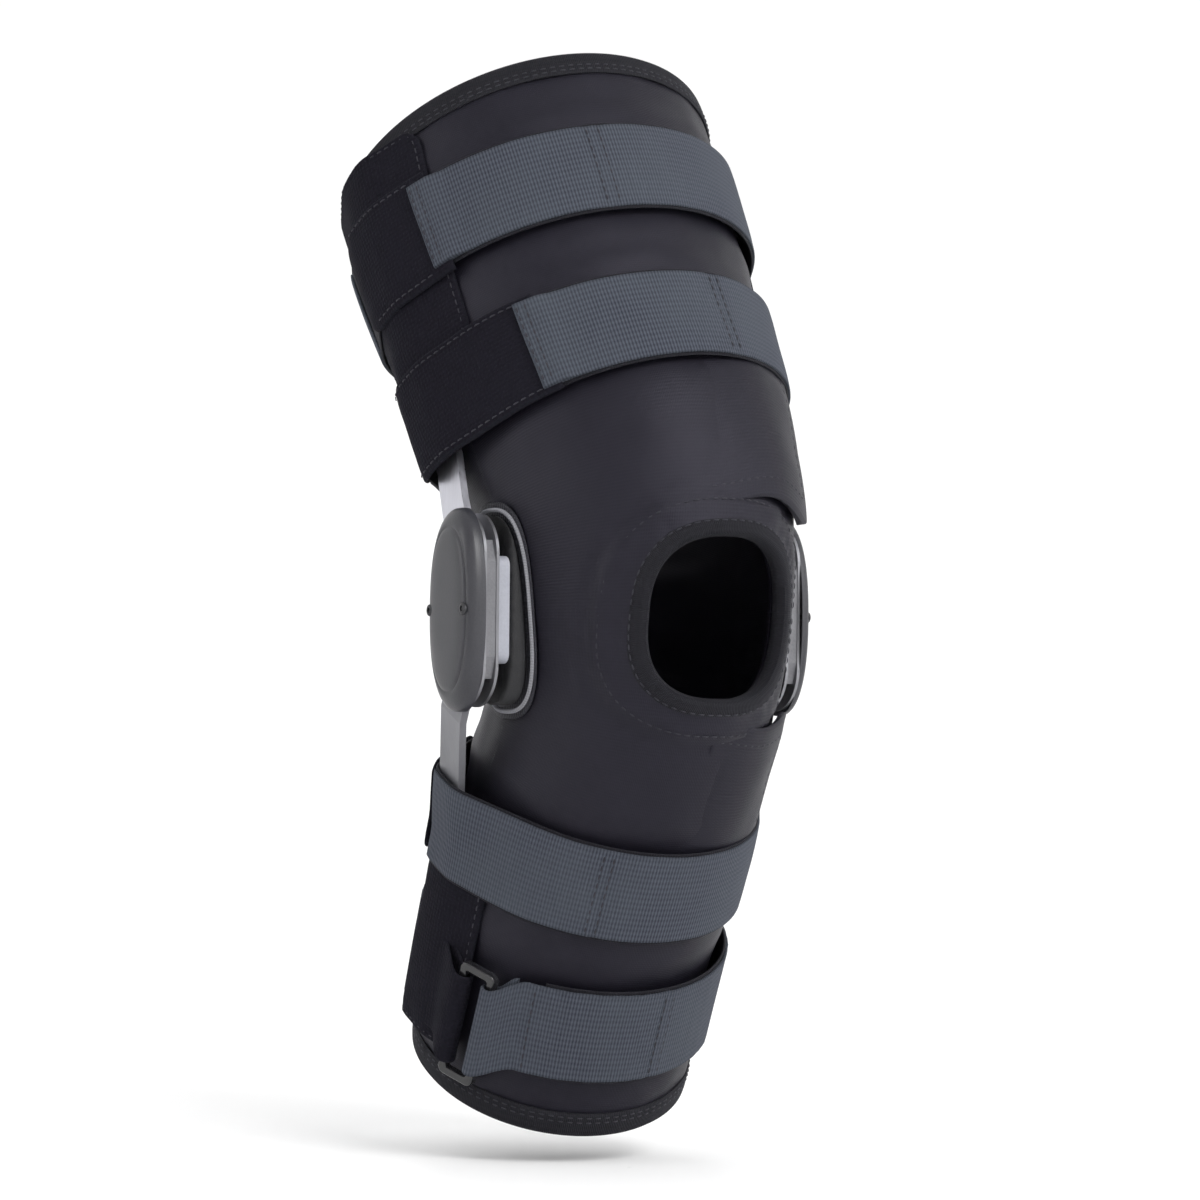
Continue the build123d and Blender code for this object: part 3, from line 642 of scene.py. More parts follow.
# paler, fully metallic copy of the arm finish for the upper arm: its paleness is painted reflection of the
# lamps, as both arms are one dark grey material
paleArmPaintedReflection = metalFinish("paleArmPaintedReflection", {
    "grainWay": (60.0, 60.0, 2.5), "grainScale": 14.0, "grainDepth": 0.00003, "metal": 1.0, "rough": 0.30,
    "dark": (0.33, 0.33, 0.38), "light": (0.46, 0.46, 0.52), "rubbed": 0.5,
        "rubbedColour": (0.7, 0.7, 0.74)})
darkArm = metalFinish("darkArm", {
    "grainWay": (60.0, 60.0, 2.5), "grainScale": 14.0, "grainDepth": 0.00003, "metal": 0.15, "rough": 0.36,
    "dark": (0.035, 0.036, 0.042), "light": (0.060, 0.061, 0.070), "rubbed": 0.6,
        "rubbedColour": (0.22, 0.22, 0.24)})
plateMetal = metalFinish("plateMetal", {
    "grainWay": (60.0, 3.0, 60.0), "grainScale": 12.0, "grainDepth": 0.00003, "metal": 0.85, "rough": 0.38,
    "dark": (0.045, 0.046, 0.05), "light": (0.08, 0.08, 0.088), "rubbed": 0.7,
        "rubbedColour": (0.3, 0.3, 0.32)})
pinMetal = metalFinish("pinMetal", {
    "grainWay": (3.0, 80.0, 80.0), "grainScale": 18.0, "grainDepth": 0.00002, "metal": 1.0, "rough": 0.28,
    "dark": (0.40, 0.40, 0.42), "light": (0.58, 0.58, 0.6), "rubbed": 0.5,
        "rubbedColour": (0.75, 0.75, 0.78)})
screwMetal = metalFinish("screwMetal", {
    "grainWay": (20.0, 20.0, 20.0), "grainScale": 30.0, "grainDepth": 0.00003, "metal": 0.6, "rough": 0.4,
    "dark": (0.008, 0.008, 0.009), "light": (0.02, 0.02, 0.022), "rubbed": 0.5,
        "rubbedColour": (0.12, 0.12, 0.13)})

# the upper arm takes the pale copy of the arm finish, whose paleness is painted reflection
hingeFinishes = {
    "upper_arm": paleArmPaintedReflection, "lower_arm": darkArm, "inner_plate": plateMetal, "outer_plate": plateMetal,
    "thrust_washers": nylon, "pivot_pins": pinMetal, "extension_stop": stopPlastic,
    "flexion_stop": stopPlastic, "cover_screws": screwMetal, "condyle_cup": cupPlastic,
}
for name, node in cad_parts.items():
    for ending, finish in hingeFinishes.items():
        if name.endswith(ending):
            node.data.materials.clear()
            node.data.materials.append(finish)
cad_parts["strap_ring"].data.materials.clear()
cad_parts["strap_ring"].data.materials.append(ringPlastic)
print("finishes ready")

# where things lie
thread12 = {"length": 0.0026, "gap": 0.0013, "radius": 0.00034}
opening = {"x": 0.0005, "z": -0.003, "halfWidth": 0.032, "halfHeight": 0.033, "corner": 2.6}
strapsLaid = {
    "strap_1": {"limb": 1, "middle": 0.158, "rise": 0.06, "turnBack": 0.010, "slope": 0.02},
    "strap_2": {"limb": 1, "middle": 0.088, "rise": 0.06, "turnBack": 0.010, "slope": 0.30},
    "strap_3": {"limb": -1, "middle": 0.091, "rise": -0.03, "turnBack": 0.010, "slope": 0.12},
    "strap_4": {"limb": -1, "middle": 0.153, "rise": -0.08, "turnBack": 0.010, "slope": 0.02},
}
strapHalf = 0.020


def limbPlace(u, phi, over="wrap"):
    # x and distance behind the limb's line
    row = ovalAt(u)
    r = wrapRadius(u, phi) if over == "wrap" else 1 / np.sqrt((np.cos(phi) / row[...,
        0]) ** 2 + (np.sin(phi) / row[..., 1]) ** 2)
    return row[..., 2] + r * np.cos(phi), row[..., 3] + r * np.sin(phi)


def strapMiddle(laid, phi):
    # u of a strap's middle line at each angle
    phi = np.asarray(phi, float)
    u = np.full(phi.shape, laid["limb"] * (laid["middle"] - leg["firstRow"]))
    for _ in range(3):
        x, v = limbPlace(u, phi)
        along = laid["middle"] + laid["rise"] * x + laid["slope"] * np.maximum(0, v - laid["turnBack"])
        u = laid["limb"] * (along - leg["firstRow"])
    return u


def rimAt(phi, upper, inset=0.0):
    # u of the sleeve's rim at each angle
    phi = np.asarray(phi, float)
    middle, lift, rise = (0.206, 0.013 / 0.110, 0.05) if upper else (0.194, 0.007 / 0.110, -0.08)
    way = 1 if upper else -1
    u = np.full(phi.shape, way * 0.19)
    for _ in range(3):
        x, v = limbPlace(u, phi, "skin")
        u = way * (middle - lift * v + rise * x - inset - leg["firstRow"])
    return u


def openingDistance(x, z):
    # distance outside the kneecap opening's outline, seen from the front
    p = opening["corner"]
    dx, dz = (x - opening["x"]) / opening["halfWidth"], (z - opening["z"]) / opening["halfHeight"]
    r = (np.abs(dx) ** p + np.abs(dz) ** p) ** (1 / p)
    return (r - 1) * (opening["halfWidth"] + opening["halfHeight"]) / 2


def bell(distance, width):
    return np.exp(-(distance / width) ** 2)


def fieldNoise(u, phi, scaleU, scalePhi, seed):
    flat = np.stack([np.ravel(u) * scaleU, np.cos(np.ravel(phi)) * scalePhi,
        np.sin(np.ravel(phi)) * scalePhi], 1)
    values = [noise.noise(Vector(p) + Vector((seed, seed * 2.3, 0))) for p in flat]
    return np.array(values).reshape(np.shape(u))


def sleeveRelief(u, phi):
    # straps press the sleeve in, it swells beside them, and the kneecap ring stands out
    lift = 0.0006 * fieldNoise(u, phi, 30.0, 2.2, 3.1) + 0.0005 * fieldNoise(u, phi, 70.0, 4.5, 5.7)
    for laid in strapsLaid.values():
        off = np.abs(u - strapMiddle(laid, phi))
        lift = lift - 0.0006 * bell(np.maximum(off - 0.012, 0), 0.007) + 0.0006 * bell(off - 0.029, 0.006)
    p = legPoint(u, phi, 0)
    d = openingDistance(p[..., 0], p[..., 2])
    inFront = np.clip(-p[..., 1] / 0.02 - 1.5, 0, 1)
    ring = np.clip((0.0150 - d) / 0.0014, 0, 1)
    lift = lift + 0.0014 * ring * inFront - 0.0008 * bell(d - 0.0165,
        0.0014) * inFront - 0.0009 * bell(d - 0.0072, 0.0012) * inFront
    crease = fieldNoise(u, phi, 75.0, 1.2, 9.4)
    behind = np.clip((p[..., 1] - 0.005) / 0.03, 0, 1) * bell(u, 0.045)
    lift = lift + behind * 0.0016 * crease
    return lift


# sleeve in two lengths, above and below the middle of the knee
sleeve = {
    "thick": 0.004, "stepAlong": 0.0024, "aroundCount": 240,
}


def angleCircle(count):
    return np.linspace(-pi, pi, count, endpoint=False)


def sleeveGrid(upper):
    phis = angleCircle(sleeve["aroundCount"])
    ends = rimAt(phis, upper, 0.0004)
    count = int(abs(ends).max() / sleeve["stepAlong"])
    shares = np.linspace(0, 1, count)
    us = shares[:, None] * ends[None, :]
    return us, np.tile(phis, (count, 1))


def makeSleeve(name, upper):
    us, phis = sleeveGrid(upper)
    points = legPoint(us, phis, 0)
    cx = (points[:-1, :, 0] + np.roll(points[:-1, :, 0], -1, 1) + points[1:, :,
        0] + np.roll(points[1:, :, 0], -1, 1)) / 4
    cz = (points[:-1, :, 2] + np.roll(points[:-1, :, 2], -1, 1) + points[1:, :,
        2] + np.roll(points[1:, :, 2], -1, 1)) / 4
    inFront = points[:-1, :, 1] < -0.02
    hole = (openingDistance(cx, cz) < 0.0022) & inFront
    thing = clothPiece(name, us, phis, -sleeve["thick"], sleeve["thick"], jersey, "skin", closed=True,
                       relief=lambda u, p: sleeveRelief(u, p), keep=~hole)
    return thing


def blendPiece(piece, upper):
    if upper:
        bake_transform(piece)
    else:
        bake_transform(piece)


sleeveUpper = makeSleeve("sleeveUpper", True)
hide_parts("sleeve_thigh", "sleeve_knee_upper")
blendPiece(sleeveUpper, True)
sleeveLower = makeSleeve("sleeveLower", False)
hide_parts("sleeve_calf", "sleeve_knee_lower")
blendPiece(sleeveLower, False)
print("sleeve ready")

# tapes folded over the two rims
rimTape = {"width": 0.0095, "thick": 0.0015, "overEdge": 0.0012, "count": 260}


def makeRimTape(name, upper, node, body):
    phis = angleCircle(rimTape["count"])
    way = 1 if upper else -1
    # a folded strip: up the outside, over the rim and down the inside
    t, w, over, thick = rimTape["thick"], rimTape["width"], rimTape["overEdge"], sleeve["thick"]
    steps = [
        (w, 0.0002, 0.0002), (w, 0.0, t * 0.7), (w - 0.001, 0.0, t), (w * 0.6, 0.0, t * 1.02),
        (0.0022, 0.0, t), (0.0004, 0.0, t * 0.86), (-over * 0.55, 0.0, 0.0002),
        (-over, 0.0, -thick * 0.45), (-over * 0.5, 0.0, -thick - 0.0004),
        (0.0008, 0.0, -thick - t * 0.55), (w * 0.5, 0.0, -thick - t * 0.6),
        (w * 0.8, 0.0, -thick - t * 0.45),
        (w * 0.8, 0.0, -thick + 0.0004), (w * 0.4, 0.0, -thick + 0.0004), (0.0009, 0.0, -thick + 0.0008),
        (0.0009, 0.0, -0.0006), (w * 0.4, 0.0, -0.0004), (w - 0.0008, 0.0, -0.0004),
    ]
    rings = []
    for inset, _, lift in steps:
        us = rimAt(phis, upper, 0.0) - way * inset
        rings.append(legPoint(us, phis, lift))
    rings = np.stack(rings, 1)
    n, m = rings.shape[:2]
    faces = [(i * m + j, i * m + (j + 1) % m, ((i + 1) % n) * m + (j + 1) % m, ((i + 1) % n) * m + j)
             for i in range(n) for j in range(m)]
    run = np.concatenate([[0], np.cumsum(np.linalg.norm(np.diff(rings[:, 3], axis=0), axis=1))])
    cloth = np.zeros((n, m, 3))
    cloth[..., 0] = run[:, None]
    cloth[..., 1] = np.array([s[0] for s in steps])[None, :]
    cloth[..., 2] = 0.01
    cloth[:, 1:3, 2] = 0.0004
    thing = newObject(name, rings.reshape(-1, 3), faces, tape, cloth.reshape(-1, 3))
    fixNormals(thing)
    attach(thing, body)
    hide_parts(node)
    for inset in (w - 0.0016, w * 0.62):
        us = rimAt(phis, upper, inset)
        stitchRow("rimStitches" + ("Top" if upper else "Bottom"), np.append(us, us[0]),
                  np.append(phis, phis[0] + 2 * pi), t * 1.02, "skin", thread12)
    return thing


makeRimTape("topRimTape", True, "top_binding", "thigh")
makeRimTape("bottomRimTape", False, "bottom_binding", "calf")
for name, body in (("rimStitchesTop", "thigh"), ("rimStitchesBottom", "calf")):
    piece = makeStitching(name, thread)
    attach(piece, body)
print("rim tapes ready")


# ring of tape round the kneecap opening, and the soft buttress behind it
kneecap = {
    "count": 168, "tapeOut": 0.0050, "tapeIn": -0.0016, "thick": 0.0019, "foldDepth": 0.0050,
    "buttressOut": 0.0125, "buttressIn": 0.0006, "buttressThick": 0.0030,
}


def openingPath(offset, count):
    # (u, phi) round the opening at a distance outside its outline
    p = opening["corner"]
    angles = np.linspace(0, 2 * pi, count, endpoint=False)
    found = []
    for q in angles:
        c, s = cos(q), sin(q)
        k = (abs(c) ** p + abs(s) ** p) ** (-1 / p)
        x = opening["x"] + (opening["halfWidth"] + offset) * c * k
        z = opening["z"] + (opening["halfHeight"] + offset) * s * k
        found.append(fromFront(x, z, "skin"))
    return np.array(found)


openingRings = {d: openingPath(d, kneecap["count"]) for d in (-0.0016, 0.0, 0.0022, 0.0042, 0.0050, 0.0085,
    0.0125)}


def ringTube(name, steps, material, thick):
    # a closed ring from (offset, lift) steps of its section
    grid = []
    for offset, lift in steps:
        lower = max((d for d in openingRings if d <= offset + 1e-9), default=min(openingRings))
        higher = min((d for d in openingRings if d >= offset - 1e-9), default=max(openingRings))
        share = 0 if higher == lower else (offset - lower) / (higher - lower)
        where = openingRings[lower] * (1 - share) + openingRings[higher] * share
        grid.append(legPoint(where[:, 0], where[:, 1], lift))
    rings = np.stack(grid, 1)
    n, m = rings.shape[:2]
    faces = [(i * m + j, i * m + (j + 1) % m, ((i + 1) % n) * m + (j + 1) % m, ((i + 1) % n) * m + j)
             for i in range(n) for j in range(m)]
    run = np.concatenate([[0], np.cumsum(np.linalg.norm(np.diff(rings[:, 0], axis=0), axis=1))])
    cloth = np.zeros((n, m, 3))
    cloth[..., 0] = run[:, None]
    cloth[..., 1] = np.array([s[0] for s in steps])[None, :]
    cloth[..., 2] = 0.01
    thing = newObject(name, rings.reshape(-1, 3), faces, material, cloth.reshape(-1, 3))
    fixNormals(thing)
    return thing


def splitAtKnee(thing, upperName, lowerName):
    # two halves of a piece, above and below the middle of the knee
    halves = []
    for name, keepUp in ((upperName, True), (lowerName, False)):
        copy = thing.copy()
        copy.data = thing.data.copy()
        copy.name = name
        copy.data.name = name
        bpy.context.scene.collection.objects.link(copy)
        bm = bmesh.new()
        bm.from_mesh(copy.data)
        geometry = bm.verts[:] + bm.edges[:] + bm.faces[:]
        cut = bmesh.ops.bisect_plane(bm, geom=geometry, plane_co=(0, 0, 0), plane_no=(0, 0, 1),
                                     clear_outer=not keepUp, clear_inner=keepUp)
        edges = [e for e in cut["geom_cut"] if isinstance(e, bmesh.types.BMEdge)]
        if edges:
            bmesh.ops.holes_fill(bm, edges=edges)
        bm.to_mesh(copy.data)
        bm.free()
        if not copy.data.polygons:
            bpy.data.objects.remove(copy)
            copy = None
        else:
            blendPiece(copy, keepUp)
        halves.append(copy)
    bpy.data.objects.remove(thing)
    return halves


def makeKneecapRing():
    k = kneecap
    t, depth = k["thick"], k["foldDepth"]
    section = [
        (k["tapeOut"], 0.0003), (k["tapeOut"] - 0.0002, t * 0.75), (k["tapeOut"] - 0.0010, t),
        (0.0022, t * 1.12), (0.0004, t * 1.05), (-0.0009, t * 0.6), (k["tapeIn"], -depth * 0.35),
        (-0.0010, -depth * 0.85), (0.0006, -depth), (0.0026, -depth), (0.0026, -depth + 0.0008),
        (0.0008, -depth * 0.7), (0.0006, -0.0006), (0.0022, -0.0004), (k["tapeOut"] - 0.0006, -0.0003),
    ]
    ring = ringTube("kneecapTape", section, tape, t)
    upper, lower = splitAtKnee(ring, "kneecapTapeUpper", "kneecapTapeLower")
    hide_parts("kneecap_binding")
    b = k["buttressThick"]
    top = -sleeve["thick"] - 0.0004
    section = [
        (k["buttressOut"], top - b * 0.5), (k["buttressOut"] - 0.0008, top - b * 0.15),
        (k["buttressOut"] - 0.0025, top), (0.0055, top), (k["buttressIn"] + 0.0022, top - b * 0.02),
        (k["buttressIn"] + 0.0007, top - b * 0.2), (k["buttressIn"], top - b * 0.5),
        (k["buttressIn"] + 0.0007, top - b * 0.85), (k["buttressIn"] + 0.0022, top - b),
        (0.0055, top - b * 1.04), (k["buttressOut"] - 0.0025, top - b),
        (k["buttressOut"] - 0.0008, top - b * 0.85),
    ]
    pad = ringTube("kneecapButtress", section, jersey, b)
    upper, lower = splitAtKnee(pad, "kneecapButtressUpper", "kneecapButtressLower")
    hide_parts("kneecap_buttress")


def ringStitches(group, offset, lift):
    nearest = min(openingRings, key=lambda d: abs(d - offset))
    where = openingRings[nearest]
    where = np.concatenate([where, where[:1]])
    points = legPoint(where[:, 0], where[:, 1], lift)
    normals = legNormals(where[:, 0], where[:, 1], "skin")
    for k in range(len(points) - 1):
        side = "Upper" if points[k, 2] + points[k + 1, 2] > 0 else "Lower"
        stitching.setdefault(group + side + "Line", []).append((points[k], normals[k]))
    # gather the runs on each side of the knee's middle
    for side in ("Upper", "Lower"):
        line = stitching.pop(group + side + "Line")
        heights = np.array([p[0][2] for p in line])
        order = list(range(len(line)))
        gaps = [k for k in order[1:] if np.linalg.norm(line[k][0] - line[k - 1][0]) > 0.01]
        if gaps:
            order = order[gaps[0]:] + order[:gaps[0]]
        stitchLine(group + side, np.array([line[k][0] for k in order]),
            np.array([line[k][1] for k in order]), thread12)


makeKneecapRing()
ringStitches("kneecapStitches", 0.0042, kneecap["thick"] * 1.0)
ringStitches("kneecapStitches", 0.0125, 0.0013)
for upper in (True, False):
    name = "kneecapStitches" + ("Upper" if upper else "Lower")
    piece = makeStitching(name, thread)
    blendPiece(piece, upper)
print("kneecap opening ready")


def tongue(name, middleAt, limb, fromAngle, toAngle, halfWidth, base, thick, material, roundStart=0.0,
    roundEnd=0.0,
           relief=None, step=0.0026, over="wrap"):
    # a strip of cloth along a strap's line, with rounded ends where asked
    coarse = np.linspace(fromAngle, toAngle, 200)
    line = legPoint(middleAt(coarse), coarse, base, over)
    run = np.concatenate([[0], np.cumsum(np.linalg.norm(np.diff(line, axis=0), axis=1))])
    rim = thick / 2
    s = rimSpacing(run[-1], step, rim)
    if roundStart > 0:
        s = np.unique(np.concatenate([s, np.linspace(0, roundStart, 9)]))
    if roundEnd > 0:
        s = np.unique(np.concatenate([s, run[-1] - np.linspace(0, roundEnd, 9)]))
    phis = np.interp(s, run, coarse)
    half = np.full(len(s), halfWidth)
    for radius, distance in ((roundStart, s), (roundEnd, run[-1] - s)):
        if radius > 0:
            inside = np.clip(radius - distance, 0, radius)
            half = half - (radius - np.sqrt(np.maximum(radius**2 - inside**2, 0)))
    across = rimSpacing(2 * halfWidth, 0.0042, rim) - halfWidth
    w = across[:, None] / halfWidth * half[None, :]
    us = middleAt(phis)[None, :] + limb * w
    phis = np.tile(phis, (len(across), 1))
    edge = np.minimum(half[None, :] - np.abs(w), np.minimum(s, run[-1] - s)[None, :])
    edge = np.maximum(edge, 0)
    lift = (lambda u, p: relief(u, p, w, s[None, :])) if relief else None
    return clothPiece(name, us, phis, base, thick, material, over, edge, relief=lift,
                      along=np.tile(s, (len(across), 1)), across=w)


def anglesAt(u, v, side, over="wrap"):
    # angle round the limb of a place v behind the limb's line, on one side
    phis = np.linspace(radians(-85), radians(85), 200) if side > 0 else np.linspace(radians(95),
        radians(265), 200)
    _, back = limbPlace(np.full(200, u), phis, over)
    return float(np.interp(v, back, phis)) if side > 0 else float(np.interp(-v, -back, phis))


# straps: black backing with grey ribbed elastic sewn on it, and hook tabs
straps = {
    "strap_1": {"piece": "thighStrapTop", "body": "thigh", "elasticFrom": -159, "elasticTo": 152,
                "stitchAt": (-104.5, -101.0), "tabFrom": -153, "tabTo": 20, "tabExtra": 0.0035,
                "flat": (0.0405, 0.47)},
    "strap_2": {"piece": "thighStrapLow", "body": "thigh", "elasticFrom": -140, "elasticTo": 148,
                "stitchAt": (-79.5, -76.5), "tabFrom": -134, "tabTo": 26, "tabExtra": 0.0015,
                "flat": (0.0405, 0.45)},
    "strap_3": {"piece": "calfStrapTop", "body": "calf", "elasticFrom": -194, "elasticTo": 158,
                "stitchAt": (-117.5, -114.0), "tabFrom": 14, "tabTo": 46, "tabExtra": 0.0,
                "flat": (0.0405, 0.385)},
}
strapLook = {"backing": 0.0010, "elastic": 0.0012, "base": 0.0032, "backHalf": 0.0204,
    "elasticHalf": 0.0193,
             "tab": 0.0017, "wave": 0.00035}


def strapRelief(laid, look, ends, seamAngles, seed):
    # ripples, the sewn-on end lifted over the tab, and dips under the seams
    def relief(u, p, w, s):
        lift = look["wave"] * fieldNoise(u, p, 55.0, 5.0, seed)
        lift = lift - 0.0004 * (np.abs(w) / strapHalf) ** 4
        if ends:
            lift = lift + ends[1] * np.clip((ends[0] - s) / 0.006 + 1, 0, 1)
        for angle in seamAngles:
            lift = lift - 0.0005 * bell(p - radians(angle), 0.014)
        return lift
    return relief


def seamAcross(group, laid, angle, lift, halfWidth, rows=(0.0,)):
    # sewn lines across a strap
    for row in rows:
        phi = radians(angle) + row
        middle = float(strapMiddle(laid, phi))
        w = np.linspace(-halfWidth, halfWidth, 24)
        stitchRow(group, middle + laid["limb"] * w, np.full(24, phi), lift, "wrap", thread12)


for seed, (node, look) in enumerate(straps.items()):
    laid = strapsLaid[node]
    name = look["piece"]
    middleAt = lambda p, laid=laid: strapMiddle(laid, p)
    base = strapLook["base"]
    phis = np.linspace(-pi, pi, 168, endpoint=False)
    across = rimSpacing(2 * strapLook["backHalf"], 0.0045, strapLook["backing"] / 2) - strapLook["backHalf"]
    us = strapMiddle(laid, phis)[None, :] + laid["limb"] * across[:, None]
    edge = np.tile((strapLook["backHalf"] - np.abs(across))[:, None], (1, len(phis)))
    backingPiece = clothPiece(name + "Backing", us, np.tile(phis, (len(across), 1)), base,
        strapLook["backing"],
                              backing, "wrap", edge, closed=True,
                              across=np.tile(across[:, None], (1, len(phis))))
    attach(backingPiece, look["body"])
    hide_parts(node)
    # the elastic's start overlaps the tab, or is sewn down to the backing
    base += strapLook["backing"]
    start, end = radians(look["elasticFrom"]), radians(look["elasticTo"])
    overTab = (0.010, strapLook["tab"] + 0.0002) if node != "strap_3" else None
    elasticPiece = tongue(name + "Elastic", middleAt, laid["limb"], start, end, strapLook["elasticHalf"],
        base,
                          strapLook["elastic"], elastic, step=0.0028,
                          relief=strapRelief(laid, strapLook, overTab, look["stitchAt"], 4.0 + seed))
    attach(elasticPiece, look["body"])
    middleU = float(strapMiddle(laid, radians(180)))
    if node == "strap_3":
        tabStart = anglesAt(middleU, look["tabTo"] / 1000, -1)
        tabEnd = anglesAt(middleU, look["tabFrom"] / 1000, -1)
        tabBase = base + strapLook["elastic"]
        tabRound = (0.007, 0.007)
    else:
        tabEnd = radians(look["tabFrom"] + 360)
        tabStart = anglesAt(middleU, look["tabTo"] / 1000, -1)
        tabBase = base
        tabRound = (0.014, 0.0)
    extra = look["tabExtra"]

    def tabRelief(u, p, w, s, seed=seed):
        return 0.0004 * fieldNoise(u, p, 90.0, 6.0, 8.0 + seed) - 0.0003 * (np.abs(w) / strapHalf) ** 6
    tabPiece = tongue(name + "Tab", middleAt, laid["limb"], tabStart, tabEnd, strapHalf + extra, tabBase,
                      strapLook["tab"], pile, roundStart=tabRound[0], roundEnd=tabRound[1],
                      relief=tabRelief)
    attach(tabPiece, look["body"])
    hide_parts(node + "_tab")
    group = name + "Stitches"
    top = base + strapLook["elastic"] + 0.0001
    for angle in look["stitchAt"]:
        seamAcross(group, laid, angle, top - 0.0003, strapLook["elasticHalf"] - 0.001)
    if overTab:
        seamAcross(group, laid, look["elasticFrom"] + 1.2, top + overTab[1],
            strapLook["elasticHalf"] - 0.001, (0.0, 0.045))
        inset = strapHalf + extra - 0.0026
        sideAngles = np.linspace(tabStart + 0.16, radians(look["elasticFrom"] + 360), 60)
        for way in (-1, 1):
            stitchRow(group, strapMiddle(laid, sideAngles) + way * inset, sideAngles,
                tabBase + strapLook["tab"] + 0.0001,
                      "wrap", thread12)
    stitchPiece = makeStitching(group, thread)
    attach(stitchPiece, look["body"])
    tabRun = float(np.linalg.norm(np.diff(legPoint(strapMiddle(laid, np.linspace(tabStart, tabEnd, 50)),
                                                   np.linspace(tabStart, tabEnd, 50), tabBase), axis=0),
                                                   axis=1).sum())
print("thigh and calf straps ready")


# pockets that hold the arms
pockets = {
    "lateral_upper_pocket": {"limb": 1, "side": -1, "v": (-0.036, 0.034), "along": (0.102, 0.1990),
        "body": "thigh"},
    "medial_upper_pocket": {"limb": 1, "side": 1, "v": (-0.036, 0.034), "along": (0.102, 0.1990),
        "body": "thigh"},
    "lateral_lower_pocket": {"limb": -1, "side": -1, "v": (-0.026, 0.034), "along": (0.098, 0.1830),
        "body": "calf"},
    "medial_lower_pocket": {"limb": -1, "side": 1, "v": (-0.026, 0.034), "along": (0.098, 0.1830),
        "body": "calf"},
}
pocketLook = {"base": 0.0004, "thick": 0.0024, "corner": 0.008, "bulge": 0.0011, "seam": 0.0034}


def makePocket(node, p):
    name = {"lateral_upper_pocket": "thighPocketOuter", "medial_upper_pocket": "thighPocketInner",
            "lateral_lower_pocket": "calfPocketOuter", "medial_lower_pocket": "calfPocketInner"}[node]
    length, width = p["along"][1] - p["along"][0], p["v"][1] - p["v"][0]
    t = rimSpacing(length, 0.0036, pocketLook["thick"] / 2)
    v = rimSpacing(width, 0.0032, pocketLook["thick"] / 2)
    corner = pocketLook["corner"]
    inset = np.zeros(len(t))
    for distance in (t, length - t):
        short = np.clip(corner - distance, 0, corner)
        inset = np.maximum(inset, corner - np.sqrt(np.maximum(corner**2 - short**2, 0)))
    half = width / 2 - inset
    vGrid = (v[None, :] - width / 2) / (width / 2) * half[:, None] + (p["v"][0] + p["v"][1]) / 2
    us = np.zeros(vGrid.shape)
    phis = np.zeros(vGrid.shape)
    for i in range(len(t)):
        u = p["limb"] * (p["along"][0] + t[i] - leg["firstRow"])
        scan = np.linspace(radians(-88), radians(88), 160) if p["side"] > 0 else np.linspace(radians(92),
            radians(268), 160)
        _, back = limbPlace(np.full(160, u), scan)
        if p["side"] > 0:
            phis[i] = np.interp(vGrid[i], back, scan)
        else:
            phis[i] = np.interp(-vGrid[i], -back, scan)
        us[i] = u
    # the far edge stays below the rim's tape
    limit = rimAt(phis, p["limb"] > 0, 0.0040)
    us = np.minimum(us, limit) if p["limb"] > 0 else np.maximum(us, limit)
    edge = np.minimum(np.minimum(t, length - t)[:, None], (half[:,
        None] - np.abs(vGrid - (p["v"][0] + p["v"][1]) / 2)))
    edge = np.maximum(edge, 0)

    def relief(u, phi):
        _, v = limbPlace(u, phi)
        bulge = pocketLook["bulge"] * np.clip(1.35 - np.abs(v) / 0.0105, 0, 1) * np.clip(edge / 0.010, 0, 1)
        return bulge + 0.0004 * fieldNoise(u, phi, 80.0, 5.0,
            12.0 + p["side"]) - 0.0004 * bell(edge - pocketLook["seam"], 0.0012)
    piece = clothPiece(name, us, phis, pocketLook["base"], pocketLook["thick"], pile, "wrap", edge,
        relief=relief,
                       along=vGrid, across=np.tile(t[:, None], (1, len(v))))
    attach(piece, p["body"])
    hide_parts(node)
    top = pocketLook["base"] + pocketLook["thick"] - 0.0002
    group = name + "Stitches"
    k = int(np.argmin(np.abs(t - pocketLook["seam"])))
    m = int(np.argmin(np.abs(v - pocketLook["seam"])))
    stitchRow(group, us[k:len(t) - k, m], phis[k:len(t) - k, m], top, "wrap", thread12)
    stitchRow(group, us[k:len(t) - k, -1 - m], phis[k:len(t) - k, -1 - m], top, "wrap", thread12)
    stitchRow(group, us[-1 - k, m:len(v) - m], phis[-1 - k, m:len(v) - m], top, "wrap", thread12)
    stitchRow(group, us[k, m:len(v) - m], phis[k, m:len(v) - m], top, "wrap", thread12)
    stitches = makeStitching(group, thread)
    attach(stitches, p["body"])


for node, p in pockets.items():
    makePocket(node, p)
print("pockets ready")


# closing flaps on the front, above and below the opening
flaps = {
    "thigh_flap": {"piece": "thighFlap", "upper": True, "left": (-97, -97), "right": (-38, -47),
        "along": (0.0235, 0.073),
                   "sag": 0.0035, "curl": 0.0022, "fade": 0.62, "body": "thigh", "flat": (0.080, 0.056)},
    "calf_flap": {"piece": "calfFlap", "upper": False, "left": (-86, -100), "right": (-34, -42),
        "along": (0.0275, 0.074),
                  "sag": 0.002, "curl": 0.0012, "fade": 0.6, "body": "calf", "flat": (0.070, 0.050)},
}
flapLook = {"base": 0.0012, "thick": 0.0024, "corner": 0.009, "seam": 0.0075}


